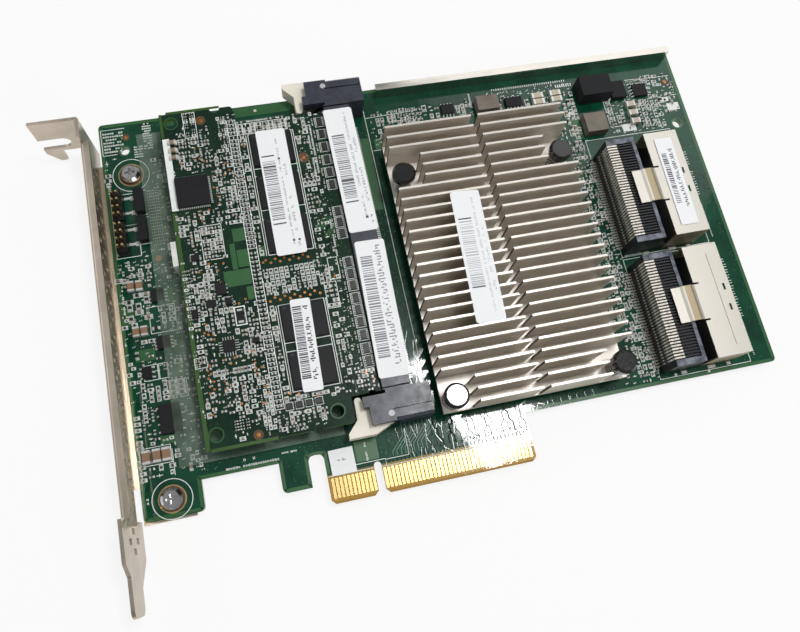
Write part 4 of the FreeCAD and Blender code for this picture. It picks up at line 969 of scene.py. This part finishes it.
BOARD_FIELDS = (
    ((0.3, 2.0, 14.0, 30.5), (1.7, 1.5), "tiny", "x", 1.0, 0.9, 0.1),
    ((10.3, 13.4, 73.6, 90.0), (1.0, 0.85), "speck", "x", 1.0, 0.0, 0.5),
    ((1.0, 9.4, 64.8, 69.0), (2.0, 1.2), "tiny", "both", 0.85, 0.6, 0.4),
    ((1.6, 8.0, 52.6, 61.8), (2.0, 1.5), "small", "both", 0.75, 0.7, 0.6),
    ((2.6, 9.6, 33.0, 38.0), (1.9, 1.4), "tiny", "both", 0.85, 0.8, 0.6),
    ((2.4, 5.8, 24.8, 33.0), (1.6, 1.5), "tiny", "y", 0.8, 0.7, 0.6),
    ((9.6, 13.6, 33.6, 37.6), (2.0, 1.4), "small", "x", 1.0, 0.9, 0.4),
    ((9.6, 13.6, 51.0, 57.0), (2.0, 1.4), "tiny", "both", 0.9, 0.7, 0.4),
    ((78.6, 88.6, 99.0, 102.0), (1.3, 1.1), "tiny", "both", 0.9, 0.4, 0.4),
    ((75.0, 77.6, 94.6, 101.6), (1.3, 1.2), "tiny", "both", 0.9, 0.5, 0.3),
    ((98.6, 104.8, 98.6, 102.6), (1.5, 1.2), "tiny", "both", 0.9, 0.6, 0.3),
    ((128.6, 133.2, 14.8, 47.6), (1.4, 1.1), "tiny", "both", 0.85, 0.5, 0.4),
    ((128.6, 133.2, 48.6, 84.0), (1.4, 1.1), "tiny", "both", 0.8, 0.5, 0.4),
    ((130.2, 134.4, 84.0, 99.0), (1.5, 1.3), "small", "y", 0.7, 0.6, 0.3),
    ((152.4, 160.4, 86.4, 97.0), (1.5, 1.1), "tiny", "both", 0.92, 0.6, 0.45),
    ((151.8, 161.6, 99.6, 103.0), (1.7, 1.2), "tiny", "x", 0.8, 0.6, 0.3),
    ((143.2, 145.4, 88.4, 97.0), (2.0, 1.1), "tiny", "x", 1.0, 0.6, 0.4),
    ((145.6, 149.6, 89.4, 92.8), (1.5, 1.1), "tiny", "y", 0.9, 0.5, 0.4),
)
for seed, (area, step, size, along, *shares) in enumerate(BOARD_FIELDS, 100):
    field(parts, prints, board_taken, area, step, size, along, seed, *shares)
for area, tries, seed, others in (
        ((0.6, 16.4, 14.6, 62.0), 1700, 120, 0.45), ((0.6, 16.4, 62.0, 101.0), 1300, 121, 0.5),
        ((73.4, 134.0, 92.0, 103.4), 1500, 122, 0.5), ((124.4, 134.4, 13.6, 92.0), 1300, 123, 0.6),
        ((143.0, 166.4, 85.6, 103.2), 1200, 124, 0.55)):
    crowd(parts, prints, dots, board_taken, area, tries, seed,
          ("tiny", "tiny", "small", "speck"), others=others)

# header tails, their pads and the printed frames round the pin headers
for low in (72.0, 81.0):
    prints.outline(0.9, 7.15, low - 0.4, low + 8.7, 0.16, PRINT)
for y in (88.2, 84.0, 79.2, 75.1):
    parts.slab(4.4, 6.6, y - 0.35, y + 0.35, 0.0, 0.34, TIN, 0.1)
    parts.slab(6.0, 6.9, y - 0.6, y + 0.6, 0.0, 0.12, TIN, 0.04)
for y in (85.8, 81.9, 77.0, 73.0):
    parts.slab(0.9, 1.9, y - 0.55, y + 0.55, 0.0, 0.22, TIN, 0.08)
for y in (90.0, 83.0, 82.2, 74.7):
    prints.slab(7.0, 10.2, y, y + 0.16, 0, INK_HIGH, PRINT)
prints.slab(7.1, 7.26, 72.0, 90.2, 0, INK_HIGH, PRINT)

# tinned ends on the larger capacitors
for x0, x1, y0, y1, top in solids_of("capacitors"):
    along_x = x1 - x0 > y1 - y0
    cap = 0.2 * max(x1 - x0, y1 - y0)
    for near in (True, False):
        spot = [x0 - 0.04, x1 + 0.04, y0 - 0.04, y1 + 0.04]
        index = (1 if near else 0) + (0 if along_x else 2)
        spot[index] = spot[index ^ 1] + (cap if near else -cap)
        parts.slab(*spot, 0.0, top + 0.03, TIN, 0.06)

# screw pads: a plated ring, bare mask and a printed circle
for y in (95.0, 9.2):
    dots.washer(7.05, y, 2.6, 3.0, 0.0, 0.05, BROWN, 48)
    dots.washer(7.05, y, 3.0, 3.35, 0.0, 0.07, PLATED, 48)
    prints.washer(7.05, y, 4.62, 4.8, 0.0, 0.03, PRINT, 64)

# printed blocks, lines and boxes
for x0, x1, y0, y1 in ((7.0, 13.6, 50.2, 57.4), (4.0, 7.6, 38.4, 42.4), (7.7, 10.0, 38.4, 42.4),
                       (1.5, 8.2, 17.8, 22.2), (8.2, 14.0, 33.0, 37.7), (134.0, 160.6, 13.4, 47.8),
                       (134.0, 160.6, 48.4, 85.2), (143.0, 150.0, 88.2, 97.2)):
    prints.outline(x0, x1, y0, y1, 0.16, PRINT)
for spots in ([(0.5, 101.7), (0.5, 109.4), (6.8, 109.4)], [(0.5, 101.7), (4.2, 101.7)],
              [(8.4, 14.6), (8.4, 21.0)], [(72.2, 17.0), (72.2, 105.6)],
              [(72.2, 102.2), (90.0, 102.8)], [(72.6, 91.8), (75.0, 91.8)],
              [(51.0, 8.2), (58.4, 8.2), (58.4, 6.2)], [(58.4, 8.0), (64.4, 8.0), (64.4, 14.4)],
              [(151.8, 103.0), (166.0, 102.6)], [(164.0, 96.0), (166.4, 96.0)]):
    prints.run(spots, 0.16, PRINT)
for area, seed, along, size in (
        ((1.0, 6.6, 102.2, 109.0), 130, "x", 0.62), ((8.6, 11.2, 99.8, 104.0), 131, "x", 0.5),
        ((11.4, 14.0, 102.0, 110.4), 132, "x", 0.5), ((0.4, 2.4, 90.2, 94.4), 133, "y", 1.0),
        ((0.6, 2.6, 68.4, 71.2), 134, "y", 1.0), ((3.0, 5.0, 68.6, 71.4), 135, "y", 0.8),
        ((0.8, 2.0, 56.4, 64.4), 136, "y", 0.6), ((1.2, 2.2, 8.8, 12.0), 137, "x", 0.6),
        ((20.2, 33.6, 12.9, 13.9), 138, "x", 0.62), ((24.6, 28.2, 14.2, 16.0), 139, "x", 0.8),
        ((33.8, 37.8, 14.2, 15.4), 140, "x", 0.45), ((79.0, 88.4, 102.4, 104.9), 141, "x", 1.1),
        ((161.0, 163.4, 26.0, 45.0), 142, "y", 1.7), ((161.0, 163.4, 60.0, 79.0), 143, "y", 1.7),
        ((53.6, 54.6, 8.6, 13.2), 144, "y", 0.6), ((103.0, 105.0, 100.4, 105.8), 145, "y", 0.7),
        ((135.0, 143.0, 48.3, 49.0), 146, "x", 0.6), ((146.4, 150.6, 86.0, 88.4), 147, "x", 0.9),
        ((161.2, 165.6, 90.4, 95.6), 148, "x", 1.0), ((0.4, 1.1, 14.0, 24.0), 149, "y", 0.5)):
    marks(prints, area, seed, along, 0.16, size, 0.85)
for i in range(34):
    prints.slab(110.6 + i * 0.68, 110.85 + i * 0.68, 105.4, 106.0, 0, INK_HIGH, PRINT)
for i in range(8):
    parts.slab(130.0 + i * 0.66, 130.3 + i * 0.66, 103.6, 104.6, 0, 0.06, TIN)
parts.slab(146.4, 150.6, 86.2, 88.6, 0, 0.08, TIN, 0.03)
parts.slab(162.2, 166.0, 91.0, 93.4, 0, 0.08, TIN, 0.03)
parts.slab(161.4, 163.4, 94.2, 95.6, 0, 0.08, TIN, 0.03)
parts.slab(131.2, 133.4, 93.4, 95.0, 0, 0.08, TIN, 0.03)

# leads of the flat packages: middle, half width, half length, leads a side, sides with leads
for x, y, half_x, half_y, count, way in (
        (9.2, 28.2, 2.6, 3.6, 4, "x"), (9.9, 47.4, 1.65, 1.6, 4, "x"),
        (9.9, 59.9, 1.65, 1.7, 4, "x"), (5.0, 40.5, 1.15, 1.5, 3, "x"),
        (96.2, 101.2, 1.8, 1.5, 4, "y"), (116.0, 100.6, 2.5, 1.5, 5, "y"),
        (155.0, 98.7, 2.1, 1.9, 4, "x"), (147.9, 99.6, 2.3, 2.7, 4, "x")):
    reach = 0.7
    along_half = half_y if way == "x" else half_x
    for i in range(count):
        at = along_half * 0.82 * (2 * i / (count - 1) - 1)
        for side in (-1, 1):
            for inner, outer, high in ((-0.15, 0.3, 0.55), (0.3, reach, 0.2)):
                near, far = ((half_x if way == "x" else half_y) + part for part in (inner, outer))
                low, top = sorted((side * near, side * far))
                if way == "x":
                    parts.slab(x + low, x + top, y + at - 0.2, y + at + 0.2, 0.0, high, TIN, 0.05)
                else:
                    parts.slab(x + at - 0.2, x + at + 0.2, y + low, y + top, 0.0, high, TIN, 0.05)

# routing from the edge contacts up to the controller, and pale copper under the mask
draw = random.Random(150)
for i in range(38):
    x = 57.75 + i
    prints.run([(x, 6.2), (x, 7.2)], 0.2, PALE_MASK, 0.02)
    prints.run([(x - 0.5, 7.0), (x - 0.5, 8.0)], 0.18, GROOVE, 0.02)
for i in range(17):
    # the gaps between the pairs of tracks that run up under the heat sink
    x, y, spots = 70.4 + i * 1.56, 8.4, []
    side = -1 if i % 3 else 1
    while y < 16.2:
        spots.append((x, y))
        y += draw.uniform(1.6, 2.8)
        spots.append((x, y))
        x, y = x + side * 0.8, y + 0.8
        side = -side if draw.random() < 0.3 else side
    prints.run(spots, draw.choice((0.14, 0.18, 0.34)), GROOVE, 0.02)
for i in range(9):
    x = 60.5 + i * 1.1
    prints.run([(x, 8.4), (x, 9.4 + i * 0.2), (x + 3.4, 13.0 + i * 0.2), (x + 3.4, 16.0)], 0.18,
               PALE_MASK, 0.02)
for i in range(11):
    prints.run([(44.35 + i, 6.2), (44.35 + i, 7.0)], 0.2, PALE_MASK, 0.02)
for x0, x1, y in ((43.9, 55.1, 6.55), (57.3, 95.4, 6.35)):
    prints.slab(x0, x1, y, y + 0.14, 0, INK_HIGH, PRINT)
for x0, x1, y0, y1 in ((0.6, 3.4, 53.2, 58.6), (2.6, 7.4, 43.6, 46.6), (6.0, 9.6, 22.4, 24.4),
                       (51.4, 57.0, 8.6, 14.0), (69.2, 71.8, 74.0, 96.0), (73.4, 75.8, 92.2, 95.4),
                       (12.2, 13.4, 38.0, 42.4), (11.6, 13.6, 56.0, 62.0),
                       (131.4, 134.0, 86.0, 92.8),
                       (36.6, 58.0, 108.0, 110.6), (17.6, 20.0, 108.2, 110.6)):
    prints.slab(x0, x1, y0, y1, 0, 0.02, LIT_MASK)
OUTLINE = ((0.5, 5.5), (0.5, 110.6), (167.1, 110.6), (167.1, 12.8), (96.6, 12.8))
LOWER_EDGE = ((0.5, 5.5), (13.6, 5.5), (13.6, 12.8), (33.2, 12.8), (33.2, 5.5), (39.3, 5.5),
              (39.3, 12.6), (41.7, 12.9), (44.1, 12.6), (44.1, 7.4))
for spots in (OUTLINE, LOWER_EDGE):
    for start, end in zip(spots, spots[1:]):
        prints.run([start, end], 0.8, LIT_MASK, 0.018)

for x, y, size in ((6.9, 106.5, 1.0), (164.2, 100.6, 1.1)):
    dots.round(x, y, ((size, 0.0), (size, 0.03)), BROWN, 24)
    pads(dots, [(x, y)], 0.5, COPPER, 0.06, 16)
pads(dots, [(11.2, 70.2)], 0.9, COPPER, 0.05, 20)
for x, y, r in ((6.2, 102.5, 1.3), (163.5, 86.5, 1.5)):
    dots.washer(x, y, r, r + 0.35, 0.0, 0.04, LIT_MASK, 32)
for area, count, seed, radius, look in (
        ((46.0, 66.0, 8.6, 15.0), 60, 160, 0.13, PALE_MASK),
        ((66.0, 96.0, 7.8, 9.4), 40, 161, 0.16, GROOVE),
        ((69.4, 72.0, 26.0, 100.0), 90, 162, 0.12, PALE_MASK),
        ((72.4, 75.0, 26.0, 90.0), 60, 163, 0.12, PALE_MASK),
        ((15.0, 44.0, 13.0, 16.4), 30, 164, 0.14, PALE_MASK),
        ((100.0, 166.0, 12.8, 15.0), 40, 165, 0.15, PALE_MASK),
        ((108.0, 134.0, 103.6, 105.0), 34, 166, 0.16, TIN),
        ((14.0, 72.0, 108.0, 110.4), 40, 167, 0.14, PALE_MASK),
        ((34.0, 39.2, 6.0, 12.0), 8, 168, 0.13, PALE_MASK),
        ((164.4, 167.0, 20.0, 84.0), 26, 169, 0.14, PALE_MASK)):
    scatter(dots, area, count, seed, radius, look)
pads(dots, [(138.6, 14.0), (139.2, 49.4), (42.3, 109.4), (148.0, 13.2)], 0.45, TIN, 0.1)

for i in range(26):
    prints.slab(162.0, 162.3, 15.0 + i * 0.5, 15.2 + i * 0.5, 0, INK_HIGH, PRINT)
    prints.slab(162.0, 162.3, 50.0 + i * 0.4, 50.2 + i * 0.4, 0, INK_HIGH, PRINT)
parts.made("board_parts", slot="package")
prints.made("board_print", slot="label")
dots.made("board_pads", slot="gold")

# ---------------------------------------------------------------- drive connectors

def lead_paint():
    """Tinned leads: bright on top and high up the block's back, with painted shade on them lower
    down.
    """
    paint = Paint("lead_metal", Metallic=0.4)
    grain = paint.noise(0.8, 2.0)
    high = paint.level(paint.axis("Z"), 4.6 * MM, 6.4 * MM)
    low = paint.level(paint.axis("Z"), 0.6 * MM, 0.3 * MM)
    bright = paint.blend(grain, srgb(214, 206, 192), srgb(240, 236, 226))
    shade = paint.blend(grain, srgb(52, 48, 44), srgb(96, 90, 82))
    # painted shade on the leads between their feet and the top
    paint.set("Base Color", paint.blend(paint.sum("MAXIMUM", high, low), shade, bright))
    paint.set("Roughness", paint.level(grain, 0.3, 0.7, 0.24, 0.36))
    return paint.bump(grain, 0.004, 0.4).material


def housing_paint(name, middle):
    """Black moulding whose upper rim carries a painted pale reflection at its ends and along the
    mouth.
    """
    paint = Paint(name, IOR=1.5, Specular_IOR_Level=0.3)
    grain = paint.noise(0.35, 3.0)
    across = paint.sum("ABSOLUTE", paint.sum("SUBTRACT", paint.axis("Y"), middle * MM))
    ends = paint.level(across, 13.65 * MM, 13.8 * MM)
    lip = paint.level(paint.axis("X"), (141.9 - KEY_X) * MM, (142.2 - KEY_X) * MM)
    rim = paint.sum("MAXIMUM", ends, lip)
    rim = paint.sum("MULTIPLY", rim, paint.level(paint.axis("Z"), 9.0 * MM, 9.15 * MM))
    rim = paint.sum("MULTIPLY", rim, paint.level(paint.facing("Z"), 0.5, 0.9))
    dark = paint.blend(grain, srgb(16, 17, 20), srgb(28, 29, 33))
    cloud = paint.noise(2.2, 5.0)
    pale = paint.blend(paint.level(cloud, 0.35, 0.65), srgb(62, 66, 76), srgb(128, 133, 144))
    # painted pale reflection on the upward-facing rim
    paint.set("Base Color", paint.blend(rim, dark, pale))
    paint.set("Roughness", paint.level(grain, 0.3, 0.7, 0.28, 0.42))
    return paint.bump(grain, 0.01, 0.5).material


LEADS = lead_paint()
RIB = plastic_paint("port_rib", srgb(40, 41, 46), 0.24, 0.3, 0.7)
RIB_COUNT, RIB_PITCH = 34, 0.8

for name in ("lower_port", "upper_port"):
    low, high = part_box(f"{name}_housing")
    middle = (low.y + high.y) / 2 / MM
    housing = housing_paint(f"{name}_moulding", middle)
    for part, paint in (("contacts", LEADS), ("housing", housing)):
        for holder in frame["nodes"][f"{name}_{part}"].material_slots:
            holder.material = paint
    ribs = Soup(BOARD)
    for i in range(RIB_COUNT):
        y = middle + (i - (RIB_COUNT - 1) / 2) * RIB_PITCH
        ribs.stack([[(x, y - half, z), (x, y + half, z), (x, y + half * 0.6, top),
                     (x, y - half * 0.6, top)]
                    for x, half, z, top in ((137.65, 0.26, 8.35, 9.12),
                                            (142.15, 0.26, 8.35, 9.12))],
                   RIB)
        for low_z, high_z in ((3.3, 3.95), (6.75, 7.3)):
            ribs.slab(134.4, 134.7, y - 0.17, y + 0.17, low_z, high_z, TIN)
        ribs.slab(133.2, 133.9, y - 0.24, y + 0.24, 0.0, 0.14, TIN, 0.05)
    for i in range(17):
        y = middle + (i - 8) * 1.3
        ribs.slab(143.1, 143.5, y - 0.2, y + 0.2, 4.6, 8.4, GOLD, 0.1)
    ribs.slab(143.1, 144.6, middle - 12.4, middle + 12.4, 4.0, 4.5, PAINTS["port_black"], 0.1)
    ribs.made(f"{name}_ribs", slot="port_black")
    # solder tabs that hold the cage and the moulding to the board
    tabs = Soup(BOARD)
    for side in (-1, 1):
        for x, size in ((141.0, 1.6), (149.0, 2.2), (154.0, 1.2)):
            tabs.brick(x, middle + side * 15.9, size, 0.9, 0.0, 0.35, PAINTS["tin"], 0.12)
    tabs.made(f"{name}_tabs", slot="tin")

# ---------------------------------------------------------------- heat sink fittings

def coil(soup, x, y, low, high, radius, wire, turns, look, steps=26, sides=8):
    """A helix of round wire with closed end turns."""
    rings = []
    count = int(turns * steps)
    for i in range(count + 1):
        angle = 2 * math.pi * i / steps
        along = i / count
        rise = min(max((along - 0.08) / 0.84, 0.0), 1.0)
        z = low + wire + rise * (high - low - 2 * wire)
        ring = []
        for k in range(sides):
            turn = 2 * math.pi * k / sides
            reach = radius + wire * math.cos(turn)
            ring.append((x + reach * math.cos(angle), y + reach * math.sin(angle),
                         z + wire * math.sin(turn)))
        rings.append(ring)
    soup.stack(rings, look, smooth=True)


low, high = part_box("push_pin_springs")
SPRING_LOW, SPRING_HIGH = low.z / MM, high.z / MM
SPRING_OUT = 2.5
spring_x = (low.x / MM + KEY_X + SPRING_OUT, high.x / MM + KEY_X - SPRING_OUT)
spring_y = (low.y / MM + SPRING_OUT, high.y / MM - SPRING_OUT)
springs = Soup(BOARD)
for x in spring_x:
    for y in spring_y:
        coil(springs, x, y, SPRING_LOW, SPRING_HIGH, SPRING_OUT - 0.26, 0.24, 5.5,
             PAINTS["spring_steel"])
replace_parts(springs.made("coil_springs", slot="spring_steel"), "push_pin_springs")

# the fine lines that the saw left along the edge of the base
low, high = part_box("heat_sink")
scores = Soup(low.z / MM)
for depth in (0.35, 0.75, 1.15):
    scores.slab(low.x / MM + KEY_X + 1.0, high.x / MM + KEY_X - 1.0, low.y / MM - 0.06,
                low.y / MM + 0.1, depth, depth + 0.14, PAINTS["fin_metal"])
scores.made("base_scores", slot="fin_metal")

# chip capacitors on the controller's carrier, round its lid
carrier = Soup(1.6)
low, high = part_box("controller_chip")
draw = random.Random(210)
left, right = low.x / MM + KEY_X + 1.8, high.x / MM + KEY_X - 1.8
near, far = low.y / MM + 1.8, high.y / MM - 1.8
for i in range(14):
    step = 2.4 * i + 1.2
    for x, y, along in ((left + step, near, "x"), (left + step, far, "x"),
                        (left, near + step, "y"), (right, near + step, "y")):
        if draw.random() < 0.75:
            chip(carrier, x, y, SIZES_MM["tiny"], along, TAN)
carrier.made("carrier_parts", slot="ceramic")

# ---------------------------------------------------------------- labels

INK = plastic_paint("ink", srgb(64, 66, 72), 0.6, 0.3, 0.9, 0.002)
SOFT_INK = plastic_paint("soft_ink", srgb(132, 136, 142), 0.6, 0.3, 0.9, 0.002)
FAINT_INK = plastic_paint("faint_ink", srgb(186, 190, 194), 0.6, 0.3, 0.95, 0.002)
PAPER = PAINTS["label"]
SHEET = 0.12


class Sticker(Soup):
    """A label with rounded corners, stuck on a little askew, and its generic print."""

    def __init__(self, node, x, y, wide, long, turn, level, corner=0.7):
        super().__init__(level)
        self.node = node
        self.turned(x, y, turn)
        self.left, self.low = x - wide / 2, y - long / 2
        ring = []
        for quarter, (cx, cy) in enumerate(((x + wide / 2 - corner, y + long / 2 - corner),
                                            (x - wide / 2 + corner, y + long / 2 - corner),
                                            (x - wide / 2 + corner, y - long / 2 + corner),
                                            (x + wide / 2 - corner, y - long / 2 + corner))):
            for step in range(7):
                angle = math.pi / 2 * (quarter + step / 6)
                ring.append((cx + corner * math.cos(angle), cy + corner * math.sin(angle)))
        self.stack([[(px, py, z) for px, py in ring] for z in (0.0, SHEET)], PAPER)

    def strip(self, x0, x1, y0, y1, ink):
        """Print at a place counted from the label's lower left corner."""
        self.slab(self.left + x0, self.left + x1, self.low + y0, self.low + y1,
                  SHEET - 0.01, SHEET + 0.02, ink)

    def bars(self, x0, x1, y0, y1, seed, ink, gap=(0.16, 0.5), line=(0.14, 0.2, 0.36)):
        draw = random.Random(seed)
        y = y0
        while y < y1:
            thick = draw.choice(line)
            self.strip(x0, x1, y, y + thick, ink)
            y += thick + draw.uniform(*gap)

    def strokes(self, x0, x1, y0, y1, seed, ink, pitch, line=0.2, fill=0.95):
        """Marks as large as characters that spell nothing: parted strokes in each place."""
        draw = random.Random(seed)
        wide, y = x1 - x0, y0
        while y + pitch * 0.7 < y1:
            if draw.random() < fill:
                near, far = sorted((draw.uniform(0.0, 0.35), draw.uniform(0.6, 1.0)))
                self.strip(x0 + near * wide, x0 + far * wide, y, y + line, ink)
                self.strip(x0 + draw.choice((0.0, 0.4, 0.8)) * wide,
                           x0 + draw.choice((0.95, 1.0)) * wide, y + pitch * 0.5,
                           y + pitch * 0.5 + line, ink)
                spot = x0 + draw.choice((0.05, 0.45, 0.8)) * wide
                self.strip(spot, spot + line, y + line * 1.4, y + pitch * 0.46, ink)
            y += pitch

    def stick(self):
        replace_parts(self.made(f"{self.node}_sheet", slot="label"), self.node)


ON_CHIPS, ON_SOCKET, ON_PORT, ON_FINS = 8.1, 8.6, 9.95, 13.9

memory = Sticker("memory_label", 45.1, 80.05, 7.7, 35.8, 0.0, ON_CHIPS)
memory.bars(0.5, 3.8, 9.8, 26.6, 300, SOFT_INK, (0.16, 0.4))
memory.bars(0.5, 3.8, 23.0, 25.4, 301, INK, (0.4, 0.9))
for y in (8.5, 27.9):
    memory.strip(0.5, 3.8, y, y + 0.36, INK)
memory.strokes(4.6, 5.1, 2.0, 34.0, 302, SOFT_INK, 0.6, 0.12, 0.8)
memory.strokes(5.6, 6.5, 2.0, 3.4, 303, INK, 0.7, 0.16)
memory.strokes(5.6, 6.4, 6.2, 17.6, 304, SOFT_INK, 0.9, 0.14, 0.7)
memory.strokes(5.6, 6.4, 22.0, 26.4, 305, SOFT_INK, 0.9, 0.14)
memory.strip(4.6, 5.2, 26.8, 27.3, INK)
memory.strip(4.6, 5.2, 3.4, 3.9, INK)
memory.strip(6.0, 6.6, 3.4, 3.9, INK)
memory.stick()

short = Sticker("short_label", 44.4, 38.4, 4.95, 23.5, -1.6, ON_CHIPS, 0.5)
short.bars(0.3, 2.5, 3.2, 21.4, 310, INK, (0.1, 0.32))
short.strokes(2.9, 4.2, 2.8, 6.4, 311, INK, 1.7, 0.34)
short.strokes(2.9, 4.2, 7.2, 18.6, 312, INK, 1.15, 0.34)
short.strokes(2.9, 4.2, 20.6, 22.0, 313, INK, 1.2, 0.34)
short.stick()

socket = Sticker("socket_label", 63.95, 83.1, 7.7, 36.2, 0.5, ON_SOCKET)
socket.bars(0.9, 4.2, 9.6, 27.4, 320, SOFT_INK, (0.16, 0.4))
socket.bars(0.9, 4.2, 12.0, 15.0, 321, INK, (0.4, 1.0))
for y in (8.4, 27.9):
    socket.strip(0.9, 4.2, y, y + 0.36, INK)
socket.strokes(5.0, 5.7, 2.2, 35.0, 322, SOFT_INK, 0.62, 0.12, 0.8)
socket.strokes(6.2, 7.0, 2.0, 4.4, 323, INK, 0.8, 0.15)
socket.strokes(6.2, 7.0, 8.2, 18.0, 324, SOFT_INK, 0.9, 0.14)
socket.strokes(6.2, 7.0, 22.6, 27.0, 325, SOFT_INK, 0.9, 0.14)
socket.strip(5.1, 5.8, 3.4, 4.0, INK)
socket.stick()

serial = Sticker("serial_label", 64.3, 44.3, 7.65, 36.0, -1.4, ON_SOCKET)
serial.bars(0.8, 3.8, 5.0, 32.0, 330, SOFT_INK, (0.16, 0.45), (0.2, 0.3, 0.42))
serial.strokes(4.4, 6.2, 3.0, 34.6, 331, SOFT_INK, 1.52, 0.28, 1.0)
serial.stick()

sink = Sticker("sink_label", 90.1, 51.7, 7.6, 35.2, -2.3, ON_FINS)
sink.bars(0.8, 4.2, 9.0, 26.8, 340, FAINT_INK, (0.22, 0.55))
sink.bars(0.8, 4.2, 9.0, 12.6, 341, SOFT_INK, (0.5, 1.4))
sink.strip(0.8, 4.2, 27.4, 27.74, INK)
sink.strokes(5.0, 5.6, 2.4, 33.8, 342, FAINT_INK, 0.62, 0.12, 0.8)
sink.strokes(6.1, 6.9, 8.0, 26.6, 343, FAINT_INK, 0.9, 0.14, 0.7)
sink.stick()

port = Sticker("port_label", 150.7, 64.5, 5.0, 26.0, -0.6, ON_PORT, 0.3)
port.bars(0.7, 2.1, 6.4, 21.4, 350, INK, (0.12, 0.4))
port.strokes(2.9, 4.1, 5.2, 22.6, 351, INK, 1.1, 0.26, 0.95)
port.stick()

plain = Sticker("board_label", 47.95, 9.72, 6.1, 6.2, 1.2, BOARD, 0.12)
plain.strokes(1.9, 2.5, 3.3, 3.9, 360, SOFT_INK, 0.5, 0.12)
plain.strip(1.8, 2.4, 3.5, 3.66, INK)
plain.strip(3.0, 3.9, 3.3, 3.46, INK)
plain.strip(3.2, 3.36, 3.2, 3.9, INK)
plain.stick()
